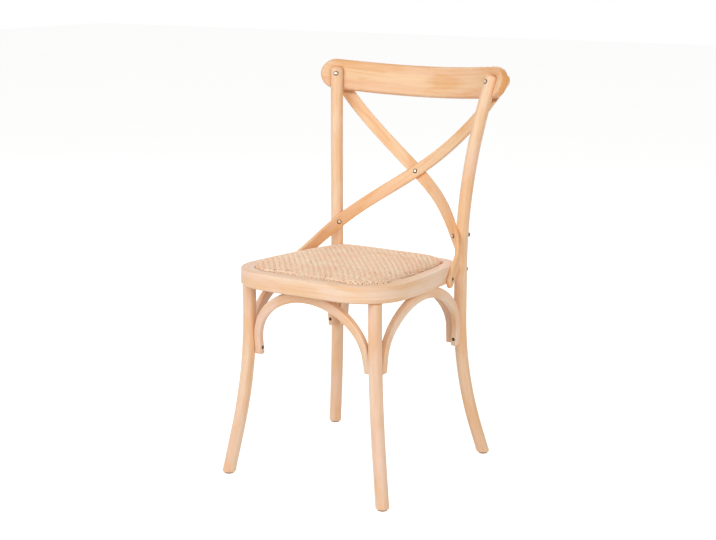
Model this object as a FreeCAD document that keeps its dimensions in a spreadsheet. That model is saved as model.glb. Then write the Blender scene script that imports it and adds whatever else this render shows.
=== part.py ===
import FreeCAD, Part
import math
import os

import Sketcher

# Cross back dining chair of bent wood with a woven rattan seat.
# Millimetres and degrees. +Z is up, the sitter faces -Y and +X is the viewer's right from the front.
# The chair is laid out on its own seat datum and then moved along Y, so that the origin lies on the
# floor under the middle of the whole chair.

Vector = FreeCAD.Vector
Rotation = FreeCAD.Rotation
Placement = FreeCAD.Placement

UP = Vector(0, 0, 1)
RIGHT = 1
LEFT = -1
TOUCH = 0.01
SHOULDER_LIMIT = 0.95
SIDES = {"right": RIGHT, "left": LEFT}

SIZES = {
    # Seat ring, drawn as four bowed sides between sharp corners, then rounded at the corners
    "seat_front_width": 390.0,
    "seat_back_width": 332.0,
    "seat_front_reach": 221.0,
    "seat_back_reach": 170.5,
    "seat_front_bow": 9.5,
    "seat_side_bow": 16.0,
    "seat_back_bow": 6.5,
    "seat_front_corner_radius": 105.0,
    "seat_back_corner_radius": 71.0,
    "seat_height": 466.7,
    "seat_tilt": 1.8,
    "ring_thickness": 36.0,
    "ring_edge_round": 4.5,
    "rebate_edge_round": 2.0,
    "rim_width": 30.0,
    "ledge_width": 12.0,
    "rebate_depth": 13.0,
    # Panel and woven seat inside the ring
    "panel_thickness": 6.0,
    "panel_clearance": 0.4,
    "rattan_crown": 8.0,
    "rattan_edge_drop": 1.0,
    "rattan_edge_round": 2.0,
    # Front legs
    "front_leg_inset": 17.5,
    "front_leg_diameter": 29.0,
    "front_bearing": 50.0,
    "front_bend_top": 376.0,
    "front_bend_radius": 1250.0,
    "front_splay": 12.4,
    "leg_shoulder_chamfer": 2.0,
    "tenon_diameter": 20.0,
    "tenon_length": 18.0,
    "tenon_clearance": 0.15,
    # Rear posts, one rod from the floor to the crest rail
    "post_diameter": 28.4,
    "post_seat_gap": 0.3,
    "post_corner_bearing": 43.3,
    "post_foot_bearing": 41.0,
    "post_foot_bend_top": 334.6,
    "post_foot_bend_radius": 907.0,
    "post_foot_splay": 17.4,
    "post_back_bearing": 33.5,
    "post_back_bend_start": 442.0,
    "post_back_bend_radius": 1276.0,
    "post_top_gap": 9.0,
    "post_top_round": 6.0,
    # Feet
    "foot_chamfer": 2.5,
    "foot_overrun": 30.0,
    "glide_head_diameter": 20.0,
    "glide_head_height": 2.5,
    "glide_shank_diameter": 3.0,
    "glide_pin_length": 8.0,
    # Crest rail
    "crest_height": 850.8,
    "crest_length": 497.0,
    "crest_depth": 70.5,
    "crest_thickness": 21.0,
    "crest_radius": 480.0,
    "crest_edge_round": 5.0,
    "lap_depth": 9.0,
    "lap_clearance": 0.15,
    "recess_flare": 4.0,
    # Crossed slats
    "slat_width": 28.0,
    "slat_thickness": 8.0,
    "slat_edge_chamfer": 1.6,
    "slat_gap": 0.45,
    "slat_ring_gap": 0.75,
    "slat_cross_gap": 0.8,
    "slat_post_gap": 0.8,
    "slat_post_clearance": 0.4,
    "slat_hollow_length": 120.0,
    "front_slat_top_inset": 30.0,
    "rear_slat_top_inset": 35.0,
    "slat_top_drop": 5.0,
    "slat_top_angle": 47.0,
    "cross_height": 631.0,
    "cross_back": 249.0,
    "cross_lean": 16.6,
    "cross_angle": 36.0,
    "slat_bolt_height": 513.0,
    "front_slat_bolt_bearing": 46.0,
    "rear_slat_bolt_bearing": 30.0,
    "front_slat_end_reach": 37.0,
    "front_slat_end_rise": 16.0,
    "front_slat_end_angle": 27.5,
    "rear_slat_end_reach": 85.0,
    "rear_slat_end_rise": 10.5,
    "rear_slat_end_angle": 45.0,
    # Arches under the seat
    "arch_depth": 15.5,
    "arch_end_thickness": 17.0,
    "arch_crown_thickness": 20.0,
    "arch_crown_flat": 3.0,
    "arch_shoulder_share": 1.05,
    "arch_edge_round": 4.0,
    "arch_spring_height": 300.0,
    "arch_gap": 0.3,
    "front_leg_arch_end": 274.0,
    "rear_post_arch_end": 265.5,
    "front_arch_offset": 5.0,
    "side_arch_offset": -3.0,
    "rear_arch_offset": 5.0,
    "front_arch_lean": 9.4,
    "side_arch_lean": 3.6,
    "rear_arch_lean": 1.0,
    # Screws, bolts and nuts
    "screw_shank_diameter": 4.0,
    "screw_head_diameter": 8.0,
    "screw_head_height": 2.4,
    "screw_bite": 9.0,
    "screw_end_distance": 15.0,
    "crest_screw_bite": 8.0,
    "crest_screw_drop": 5.0,
    "cross_screw_bite": 6.0,
    "base_screw_bite": 4.5,
    "base_screw_spread": 90.0,
    "bolt_shank_diameter": 5.0,
    "bolt_head_diameter": 9.5,
    "bolt_head_height": 2.8,
    "seat_bolt_bite": 24.0,
    "nut_diameter": 9.5,
    "nut_height": 5.0,
    "screw_seat": 0.6,
    "bolt_seat": 0.8,
    "crown_screw_seat": 0.3,
    "slat_screw_seat": 0.5,
    "hole_clearance": 0.15,
    "hole_overrun": 2.0,
    # Move from the seat datum to the middle of the whole chair
    "datum_shift": -31.2,
}

doc = FreeCAD.newDocument("cross_back_chair")
sheet = doc.addObject("Spreadsheet::Sheet", "Sizes")
for row, (alias, value) in enumerate(SIZES.items(), 1):
    sheet.set(f"A{row}", alias)
    sheet.set(f"B{row}", str(value))
    sheet.setAlias(f"B{row}", alias)
doc.recompute()


def size(alias):
    """One driving dimension, as the sheet holds it."""
    return float(sheet.get(alias))


def radians(alias):
    return math.radians(size(alias))


def unit(vector):
    return Vector(vector).normalize()


def polar(radius, angle):
    """Point in the XY plane at an angle counted in radians from +X."""
    return Vector(radius * math.cos(angle), radius * math.sin(angle), 0)


def bearing(side, front, angle):
    """Level direction that points outwards, at an angle from the Y axis towards the side."""
    along = -math.cos(angle) if front else math.cos(angle)
    return Vector(side * math.sin(angle), along, 0)


# Sketches and bodies


def add_body(label):
    body = doc.addObject("PartDesign::Body", label)
    body.Label = label
    return body


def add_sketch(body, name, role="XY_Plane", offset=None):
    sketch = body.newObject("Sketcher::SketchObject", name)
    plane = next(p for p in body.Origin.OriginFeatures if p.Role == role)
    sketch.AttachmentSupport = [(plane, "")]
    sketch.MapMode = "FlatFace"
    if offset:
        sketch.AttachmentOffset = offset
    return sketch


def bind_radius(sketch, geometry, name, value, expression):
    """Ties the radius of one arc or circle of a sketch to the sheet."""
    index = sketch.addConstraint(Sketcher.Constraint("Radius", geometry, value))
    sketch.renameConstraint(index, name)
    sketch.setExpression(f"Constraints.{name}", expression)


def add_circle(sketch, name, centre, value, expression):
    index = sketch.addGeometry(Part.Circle(centre, UP, value))
    bind_radius(sketch, index, name, value, expression)


def add_polyline(sketch, points):
    for start, end in zip(points, points[1:] + points[:1]):
        sketch.addGeometry(Part.LineSegment(start, end))


def edges_where(feature, test):
    return [f"Edge{i}" for i, edge in enumerate(feature.Shape.Edges, 1) if test(edge)]


def edge_on_level(edge, level):
    """Whether the whole edge lies at one height."""
    box = edge.BoundBox
    return abs(box.ZMin - level) < TOUCH and abs(box.ZMax - level) < TOUCH


def edge_round(edge, centre):
    """Whether the edge is part of a circle about a point."""
    return isinstance(edge.Curve, Part.Circle) and edge.Curve.Center.distanceToPoint(centre) < TOUCH


def is_fresh(edge, base):
    """Whether the edge is new since an earlier feature."""
    return all(edge.CenterOfMass.distanceToPoint(old.CenterOfMass) > TOUCH for old in base.Shape.Edges)


def is_upper_rim(edge, lowest):
    """Whether the edge runs round the top of a slab whose bottom is at the lowest level."""
    return edge.BoundBox.ZMin > lowest + TOUCH


def is_end_corner(edge):
    """Whether a straight edge crosses the thickness of the crest rail at one of its ends."""
    return isinstance(edge.Curve, Part.Line) and edge.BoundBox.ZLength < TOUCH


def is_face_rim(edge):
    """Whether the edge borders the front or the back face of the crest rail."""
    return not isinstance(edge.Curve, Part.Line) or edge.BoundBox.ZLength > TOUCH


def add_pad(body, name, sketch, expression, midplane=False):
    pad = body.newObject("PartDesign::Pad", name)
    pad.Profile = sketch
    pad.Midplane = midplane
    pad.setExpression("Length", expression)
    body.Tip = pad
    doc.recompute()
    return pad


def add_fillet(body, name, base, edges, expression):
    fillet = body.newObject("PartDesign::Fillet", name)
    fillet.Base = (base, edges)
    fillet.setExpression("Radius", expression)
    body.Tip = fillet
    doc.recompute()
    return fillet


# Fasteners: each is a place on a surface, the way out of that surface and a length below it


def fastener_placement(point, outward):
    return Placement(point, Rotation(UP, outward))


def fastener_shape(kind, length):
    """A head above the origin, domed except on a glide, and a plain shank below it."""
    shank = size(f"{kind}_shank_diameter") / 2
    head = size(f"{kind}_head_diameter") / 2
    height = size(f"{kind}_head_height")
    top = Vector(0, 0, height)
    if kind == "glide":
        rim = Vector(head, 0, height)
        crown = Part.makeLine(rim, top)
    else:
        rim = Vector(head, 0, height / 4)
        rise = height - rim.z
        ball = (head ** 2 + rise ** 2) / (2 * rise)
        half_turn = math.asin(head / ball) / 2
        middle = Vector(ball * math.sin(half_turn), 0, height - ball * (1 - math.cos(half_turn)))
        crown = Part.Arc(rim, middle, top).toShape()
    outline = Part.Wire([
        Part.makeLine(Vector(0, 0, -length), Vector(shank, 0, -length)),
        Part.makeLine(Vector(shank, 0, -length), Vector(shank, 0, 0)),
        Part.makeLine(Vector(shank, 0, 0), Vector(head, 0, 0)),
        Part.makeLine(Vector(head, 0, 0), rim),
        crown,
        Part.makeLine(top, Vector(0, 0, -length)),
    ])
    return Part.Face(outline).revolve(Vector(0, 0, 0), UP, 360)


class Fastener:
    """One screw or bolt, with the hole that it needs in each wooden piece."""

    def __init__(self, kind, point, outward, length, seat=0):
        self.kind = kind
        self.seat = seat
        self.place = fastener_placement(point - outward * seat, outward)
        self.length = length - seat

    def solid(self):
        shape = fastener_shape(self.kind, self.length)
        shape.Placement = self.place
        return shape

    def cylinder(self, name, expression, bottom, top):
        """A cylinder about the shank between two levels, counted from under the head."""
        hole = doc.addObject("Part::Cylinder", name)
        hole.setExpression("Radius", expression)
        hole.Height = top - bottom
        hole.Placement = Placement(self.place.multVec(UP * bottom), self.place.Rotation)
        return hole

    def drills(self, name):
        """A hole for the shank and, where the head is sunk, a flat seat for the head."""
        top = self.seat + size("hole_overrun")
        shank = f"Sizes.{self.kind}_shank_diameter / 2 + Sizes.hole_clearance"
        bottom = -self.length - size("hole_clearance")
        found = [self.cylinder(f"{name}_hole", shank, bottom, top)]
        if self.seat:
            head = f"Sizes.{self.kind}_head_diameter / 2 + Sizes.hole_clearance"
            found.append(self.cylinder(f"{name}_seat", head, 0, top))
        return found

    def nut_level(self):
        return size("nut_height") - self.length

    def nut_seat(self, name):
        """Flat seat for the nut at the far end of a bolt."""
        radius = "Sizes.nut_diameter / 2 + Sizes.hole_clearance"
        level = self.nut_level()
        return self.cylinder(f"{name}_nut_seat", radius, level - size("nut_height"), level)

    def nut(self):
        """A round nut in line with the bolt."""
        outer = size("nut_diameter") / 2
        bore = size("bolt_shank_diameter") / 2 + size("hole_clearance")
        start = Vector(0, 0, -self.length)
        nut = Part.makeCylinder(outer, size("nut_height"), start)
        nut = nut.cut(Part.makeCylinder(bore, size("nut_height"), start))
        nut.Placement = self.place
        return nut


SUBPARTS = []


# Seat outline, seen from above on the seat datum and centred on X


def side_circle(start, end, bow):
    """Circle through two corners whose arc stands out by the bow, to the right of start to end."""
    chord = end - start
    outward = unit(Vector(chord.y, -chord.x, 0))
    radius = (chord.Length ** 2 / 4 + bow ** 2) / (2 * bow)
    middle = (start + end) * 0.5
    return middle - outward * (radius - bow), radius


def corner_centre(first, second, corner_radius, corner):
    """Centre of the arc that rounds a corner and touches two side circles from inside."""
    reach_one = first[1] - corner_radius
    reach_two = second[1] - corner_radius
    between = second[0] - first[0]
    along = (reach_one ** 2 - reach_two ** 2 + between.Length ** 2) / (2 * between.Length)
    across = math.sqrt(reach_one ** 2 - along ** 2)
    forward = unit(between)
    sideways = Vector(-forward.y, forward.x, 0)
    choices = [first[0] + forward * along + sideways * across * sign for sign in (1, -1)]
    return min(choices, key=lambda point: point.distanceToPoint(corner))


FRONT_HALF = size("seat_front_width") / 2
BACK_HALF = size("seat_back_width") / 2
CORNERS = [
    Vector(-FRONT_HALF, -size("seat_front_reach"), 0),
    Vector(FRONT_HALF, -size("seat_front_reach"), 0),
    Vector(BACK_HALF, size("seat_back_reach"), 0),
    Vector(-BACK_HALF, size("seat_back_reach"), 0),
]
BOWS = ["seat_front_bow", "seat_side_bow", "seat_back_bow", "seat_side_bow"]
CORNER_RADII = [
    "seat_front_corner_radius",
    "seat_front_corner_radius",
    "seat_back_corner_radius",
    "seat_back_corner_radius",
]
SIDE_CIRCLES = [
    side_circle(CORNERS[i], CORNERS[(i + 1) % 4], size(BOWS[i])) for i in range(4)
]
CORNER_CENTRES = [
    corner_centre(SIDE_CIRCLES[i - 1], SIDE_CIRCLES[i], size(CORNER_RADII[i]), CORNERS[i])
    for i in range(4)
]
FRONT_SIDE, RIGHT_SIDE, BACK_SIDE = SIDE_CIRCLES[:3]
FRONT_CORNER_CENTRE = CORNER_CENTRES[1]
BACK_CORNER_CENTRE = CORNER_CENTRES[2]


def heading(origin, point):
    return math.atan2(point.y - origin.y, point.x - origin.x)


def draw_seat_outline(sketch, inset_names):
    """Eight arcs round the seat, drawn inwards of its edge by the sum of the named sizes."""
    inset = sum(size(name) for name in inset_names)
    inset_text = "".join(f" - Sizes.{name}" for name in inset_names)
    for i in range(4):
        centre, radius = SIDE_CIRCLES[i]
        start = heading(centre, CORNER_CENTRES[i])
        end = heading(centre, CORNER_CENTRES[(i + 1) % 4])
        sketch.addGeometry(Part.ArcOfCircle(Part.Circle(centre, UP, radius - inset), start, end))
        corner = CORNER_CENTRES[i]
        corner_radius = size(CORNER_RADII[i]) - inset
        before = heading(SIDE_CIRCLES[i - 1][0], corner)
        arc = Part.ArcOfCircle(Part.Circle(corner, UP, corner_radius), before, start)
        index = sketch.addGeometry(arc)
        bind_radius(sketch, index, f"corner_{i}", corner_radius, f"Sizes.{CORNER_RADII[i]}{inset_text}")


TILT = radians("seat_tilt")
SEAT_PLACE = Placement(
    Vector(0, 0, size("seat_height") - size("seat_front_reach") * math.tan(TILT)),
    Rotation(Vector(1, 0, 0), -size("seat_tilt")),
)


def under_ring(y):
    """Height of the underside of the tilted ring at a distance behind the seat datum."""
    top = SEAT_PLACE.Base.z - y * math.tan(TILT)
    return top - size("ring_thickness") / math.cos(TILT)


# Centrelines of the bent legs and posts


def bend(reach, radius, splay):
    """Sideways shift and slope of a rod at a height away from the start of its bend."""
    if reach <= 0:
        return 0.0, 0.0
    arc_reach = radius * math.sin(splay)
    if reach >= arc_reach:
        return radius * (1 - math.cos(splay)) + (reach - arc_reach) * math.tan(splay), splay
    slope = math.asin(reach / radius)
    return radius * (1 - math.cos(slope)), slope


class FrontLeg:
    """Straight below the ring, then bent outwards to the floor."""

    def __init__(self, side):
        self.side = side
        self.outward = bearing(side, True, radians("front_bearing"))
        centre = Vector(side * FRONT_CORNER_CENTRE.x, FRONT_CORNER_CENTRE.y, 0)
        inset = size("seat_front_corner_radius") - size("front_leg_inset")
        self.axis = centre + self.outward * inset
        half = size("front_leg_diameter") / 2
        self.top = under_ring(self.axis.y + half) - size("tenon_clearance")
        self.arch_end = size("front_leg_arch_end")

    def point(self, z):
        reach = size("front_bend_top") - z
        shift = bend(reach, size("front_bend_radius"), radians("front_splay"))[0]
        return self.axis + self.outward * shift + UP * z

    def radius(self):
        return size("front_leg_diameter") / 2


class RearPost:
    """Bent outwards to the floor and bent backwards to the crest rail."""

    def __init__(self, side):
        self.side = side
        self.outward = bearing(side, False, radians("post_foot_bearing"))
        self.backward = bearing(side, False, radians("post_back_bearing"))
        centre = Vector(side * BACK_CORNER_CENTRE.x, BACK_CORNER_CENTRE.y, 0)
        reach = size("seat_back_corner_radius") + size("post_diameter") / 2 + size("post_seat_gap")
        self.from_corner = bearing(side, False, radians("post_corner_bearing"))
        self.axis = centre + self.from_corner * reach
        self.arch_end = size("rear_post_arch_end")

    def point(self, z):
        foot_reach = size("post_foot_bend_top") - z
        foot = bend(foot_reach, size("post_foot_bend_radius"), radians("post_foot_splay"))[0]
        back = bend(z - size("post_back_bend_start"), size("post_back_bend_radius"), math.pi / 2)[0]
        return self.axis + self.outward * foot + self.backward * back + UP * z

    def direction(self, z):
        """Way up along the post above its straight stretch."""
        reach = z - size("post_back_bend_start")
        slope = bend(reach, size("post_back_bend_radius"), math.pi / 2)[1]
        return self.backward * math.sin(slope) + UP * math.cos(slope)

    def radius(self):
        return size("post_diameter") / 2


FRONT_LEGS = {name: FrontLeg(side) for name, side in SIDES.items()}
REAR_POSTS = {name: RearPost(side) for name, side in SIDES.items()}


# Crest rail frame: X along the rail, Y towards its back, Z up the leaning board, origin in the
# middle of the front face. The front face passes through the axis of both posts.

POST_AT_CREST = REAR_POSTS["right"].point(size("crest_height"))
POST_DIRECTION = REAR_POSTS["right"].direction(size("crest_height"))
CREST_LEAN = math.atan2(POST_DIRECTION.y, POST_DIRECTION.z)
CREST_POST_ANGLE = math.asin(POST_AT_CREST.x / size("crest_radius"))
CREST_SAG = size("crest_radius") * (1 - math.cos(CREST_POST_ANGLE))
CREST_PLACE = Placement(
    Vector(
        0,
        POST_AT_CREST.y + CREST_SAG * math.cos(CREST_LEAN),
        POST_AT_CREST.z - CREST_SAG * math.sin(CREST_LEAN),
    ),
    Rotation(Vector(1, 0, 0), -math.degrees(CREST_LEAN)),
)
CREST_HALF_ANGLE = size("crest_length") / 2 / size("crest_radius")


def crest_point(angle, depth, rise):
    """Point at an angle along the rail, a depth behind its front face and a rise up the board."""
    radius = size("crest_radius") + depth
    local = Vector(radius * math.sin(angle), radius * math.cos(angle) - size("crest_radius"), rise)
    return CREST_PLACE.multVec(local)


def crest_direction(x, y, z):
    return CREST_PLACE.Rotation.multVec(Vector(x, y, z))


def lap_place(post):
    """Frame on the axis of a post at the crest rail: Z up the post, Y into the rail."""
    along = post.direction(size("crest_height"))
    angle = post.side * CREST_POST_ANGLE
    back = crest_direction(math.sin(angle), math.cos(angle), 0)
    back = unit(back - along * back.dot(along))
    return Placement(post.point(size("crest_height")), Rotation(back.cross(along), back, along, "ZYX"))


POST_TOP_RISE = size("crest_depth") / 2 - size("post_top_gap")


# Fastener positions


def drill_list(fasteners, piece):
    found = []
    for i, fastener in enumerate(fasteners, 1):
        found += fastener.drills(f"{piece}_{i}")
    return found


def finish(label, blank, drills=()):
    """Cuts the holes of one piece and moves it to the middle of the whole chair."""
    piece = blank
    if drills:
        tools = doc.addObject("Part::Compound", f"{label}_cuts")
        tools.Links = list(drills)
        blank.Label = f"{label}_blank"
        piece = doc.addObject("Part::Cut", label)
        piece.Base = blank
        piece.Tool = tools
    piece.Label = label
    doc.recompute()
    piece.Placement = Placement(Vector(0, size("datum_shift"), 0), Rotation()).multiply(piece.Placement)
    SUBPARTS.append(piece)
    return piece


def finish_group(label, solids):
    """A group of separate solids under one label, such as a set of equal screws."""
    group = doc.addObject("Part::Feature", label)
    group.Label = label
    group.Shape = Part.makeCompound(solids)
    group.Placement = Placement(Vector(0, size("datum_shift"), 0), Rotation())
    SUBPARTS.append(group)
    return group


def crest_screw(post):
    """From the front of the post through its lap into the crest rail."""
    place = lap_place(post)
    front = -size("post_diameter") / 2
    length = size("post_diameter") / 2 + size("lap_depth") + size("crest_screw_bite")
    point = place.multVec(Vector(0, front, -size("crest_screw_drop")))
    outward = place.Rotation.multVec(Vector(0, -1, 0))
    return Fastener("screw", point, outward, length, size("screw_seat"))


def bolt_way(post):
    """Level direction from the post to the slat in front of it."""
    slat = "front" if post.side == LEFT else "rear"
    return bearing(-post.side, True, radians(f"{slat}_slat_bolt_bearing"))


def slat_bolt(post):
    """Level, through the slat and the middle of the post, to a nut at the back."""
    inward = bolt_way(post)
    reach = size("post_diameter") / 2 + size("slat_post_gap") + size("slat_thickness")
    point = post.point(size("slat_bolt_height")) + inward * reach
    length = reach + size("post_diameter") / 2 + size("nut_height") - size("bolt_seat")
    return Fastener("bolt", point, inward, length, size("slat_screw_seat"))


def seat_bolt(post):
    """Level, from the back of the post into the rounded corner of the ring."""
    height = under_ring(post.axis.y) + size("ring_thickness") / 2
    point = post.point(height) + post.from_corner * size("post_diameter") * 0.5
    length = size("post_diameter") + size("post_seat_gap") + size("seat_bolt_bite")
    return Fastener("bolt", point, post.from_corner, length, size("bolt_seat"))


# Crossed slats: one strip from the back of the crest rail, behind the crossing, past the front of
# the opposite post to the outside of the ring. The face that looks forward at the crossing is its
# front face all the way, so at the ring it is the face that lies against the wood.


class Slat:
    def __init__(self, name, side, layer):
        self.side = side
        self.end_slope = radians(f"{name}_slat_end_angle")
        half = size("slat_thickness") / 2
        post = REAR_POSTS["right" if side == RIGHT else "left"]
        inset = size(f"{name}_slat_top_inset")
        self.top, self.top_normal, self.top_tangent = self.on_crest(inset, size("slat_top_drop"), half)
        fall = size("crest_depth") / 2 - size("slat_top_drop")
        inset += fall / math.tan(radians("slat_top_angle"))
        self.exit, self.exit_normal, self.exit_tangent = self.on_crest(inset, size("crest_depth") / 2, half)
        lean = radians("cross_lean")
        slope = radians("cross_angle")
        self.cross_normal = Vector(0, -math.cos(lean), math.sin(lean))
        middle = Vector(0, size("cross_back"), size("cross_height"))
        self.cross = middle + self.cross_normal * layer * (half + size("slat_cross_gap") / 2)
        down = Vector(0, -math.sin(lean), -math.cos(lean))
        self.cross_tangent = Vector(side, 0, 0) * math.cos(slope) + down * math.sin(slope)
        self.bolt_normal = bolt_way(post)
        reach = size("post_diameter") / 2 + size("slat_post_gap") + half
        self.bolt = post.point(size("slat_bolt_height")) + self.bolt_normal * reach
        reach = size(f"{name}_slat_end_reach")
        bottom = size(f"{name}_slat_end_rise") - size("ring_thickness")
        self.end, self.end_normal, self.end_tangent = self.on_ring(reach, bottom, half)
        level = size("slat_width") / 2 * math.cos(self.end_slope)
        reach += (level - bottom) / math.tan(self.end_slope)
        self.entry, self.entry_normal, self.entry_tangent = self.on_ring(reach, level, half)

    def on_ring(self, reach, level, half):
        """Place, front normal and way down of the strip where it lies on the side of the ring."""
        centre, radius = RIGHT_SIDE
        side = self.side
        turn = math.asin((reach - centre.y) / radius)
        outward = Vector(side * math.cos(turn), math.sin(turn), 0)
        edge = Vector(side * centre.x, centre.y, 0) + outward * (radius + size("slat_ring_gap") + half)
        forward = Vector(side * math.sin(turn), -math.cos(turn), 0)
        down = forward * math.cos(self.end_slope) - UP * math.sin(self.end_slope)
        turned = SEAT_PLACE.Rotation
        return SEAT_PLACE.multVec(edge + UP * level), turned.multVec(outward * -1), turned.multVec(down)

    def on_crest(self, inset, drop, half):
        """Place, front normal and way down of the strip where it lies on the back of the crest rail."""
        side = self.side
        angle = -side * (size("crest_length") / 2 - inset) / size("crest_radius")
        depth = size("crest_thickness") + size("slat_gap") + half
        normal = crest_direction(-math.sin(angle), -math.cos(angle), 0)
        inwards = crest_direction(side * math.cos(angle), abs(math.sin(angle)), 0)
        slope = radians("slat_top_angle")
        down = inwards * math.cos(slope) + crest_direction(0, 0, -1) * math.sin(slope)
        return crest_point(angle, depth, -drop), normal, down

    def frames(self, count):
        """Evenly spaced frames along the strip: Z along it and Y out of its back face."""
        points = [self.top, self.exit, self.cross, self.bolt, self.entry, self.end]
        tangents = [
            self.top_tangent,
            self.exit_tangent,
            self.cross_tangent,
            self.bolt_normal,
            self.entry_tangent,
            self.end_tangent,
        ]
        normals = [
            self.top_normal,
            self.exit_normal,
            self.cross_normal,
            self.bolt_normal,
            self.entry_normal,
            self.end_normal,
        ]
        stops = [0.0]
        for start, end in zip(points, points[1:]):
            stops.append(stops[-1] + start.distanceToPoint(end))
        path = Part.BSplineCurve()
        path.interpolate(
            Points=points,
            Parameters=stops,
            Tangents=tangents,
            TangentFlags=[True, True, True, False, True, True],
            Scale=False,
        )
        turning = Part.BSplineCurve()
        turning.interpolate(Points=normals, Parameters=stops)
        frames = []
        for i in range(count):
            stop = stops[-1] * i / (count - 1)
            along = unit(path.tangent(stop)[0])
            front = turning.value(stop)
            front = unit(front - along * front.dot(along))
            back = front * -1
            frames.append(Placement(path.value(stop), Rotation(back.cross(along), back, along, "ZYX")))
        return frames

    def half_section(self):
        """Half of the section with its broken edges, from the middle to one edge."""
        width = size("slat_width") / 2
        thick = size("slat_thickness") / 2
        chamfer = size("slat_edge_chamfer")
        return [
            Vector(0, -thick, 0),
            Vector(width - chamfer, -thick, 0),
            Vector(width, chamfer - thick, 0),
            Vector(width, thick - chamfer, 0),
            Vector(width - chamfer, thick, 0),
            Vector(0, thick, 0),
        ]

    def section(self, frame):
        points = self.half_section()[1:-1]
        points += [point * -1 for point in points]
        wire = Part.makePolygon(points + points[:1])
        wire.Placement = frame
        return wire

    def round_end(self, frame, turn_axis):
        """Half a disc that closes the strip with a rounded end."""
        points = self.half_section()
        face = Part.Face(Part.makePolygon(points + points[:1]))
        disc = face.revolve(Vector(0, 0, 0), turn_axis, 180)
        disc.Placement = frame
        return disc

    def solid(self):
        frames = self.frames(SLAT_SECTIONS)
        strip = Part.makeLoft([self.section(frame) for frame in frames], True, True)
        start = self.round_end(frames[0], Vector(0, 1, 0))
        end = self.round_end(frames[-1], Vector(0, -1, 0))
        return strip.fuse([start, end]).removeSplitter()


SLAT_SECTIONS = 33
FRONT_SLAT = Slat("front", LEFT, 1)
REAR_SLAT = Slat("rear", RIGHT, -1)
SLATS = {"cross_slat_front": FRONT_SLAT, "cross_slat_rear": REAR_SLAT}


def slat_top_screw(slat):
    outward = slat.top_normal * -1
    point = slat.top + outward * (size("slat_thickness") / 2)
    length = size("slat_thickness") + size("slat_gap") + size("screw_bite")
    return Fastener("screw", point, outward, length, size("slat_screw_seat"))


def slat_end_screw(slat):
    outward = slat.end_normal * -1
    point = slat.end + outward * (size("slat_thickness") / 2)
    length = size("slat_thickness") + size("slat_ring_gap") + size("screw_bite")
    return Fastener("screw", point, outward, length, size("slat_screw_seat"))


def cross_screw():
    outward = FRONT_SLAT.cross_normal
    point = FRONT_SLAT.cross + outward * (size("slat_thickness") / 2)
    length = size("slat_thickness") + size("slat_cross_gap") + size("cross_screw_bite")
    return Fastener("screw", point, outward, length, size("slat_screw_seat"))


# Arches: a three-centred curve inside and outside on two short straight ends, in a plane that leans
# outwards from the legs to the ring


def basket_arch(sketch, half_span, rise):
    """Three-centred arch round the origin: two shoulders and a flatter crown, all tangent."""
    shoulder = min(size("arch_shoulder_share") * rise ** 2 / half_span, rise * SHOULDER_LIMIT)
    offset = half_span - shoulder
    crown = (offset ** 2 + rise ** 2 - shoulder ** 2) / (2 * (rise - shoulder))
    drop = crown - rise
    turn = math.atan2(drop, offset)
    right = Part.Circle(Vector(offset, 0, 0), UP, shoulder)
    left = Part.Circle(Vector(-offset, 0, 0), UP, shoulder)
    middle = Part.Circle(Vector(0, -drop, 0), UP, crown)
    sketch.addGeometry(Part.ArcOfCircle(right, 0, turn))
    sketch.addGeometry(Part.ArcOfCircle(middle, turn, math.pi - turn))
    sketch.addGeometry(Part.ArcOfCircle(left, math.pi - turn, math.pi))


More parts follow.
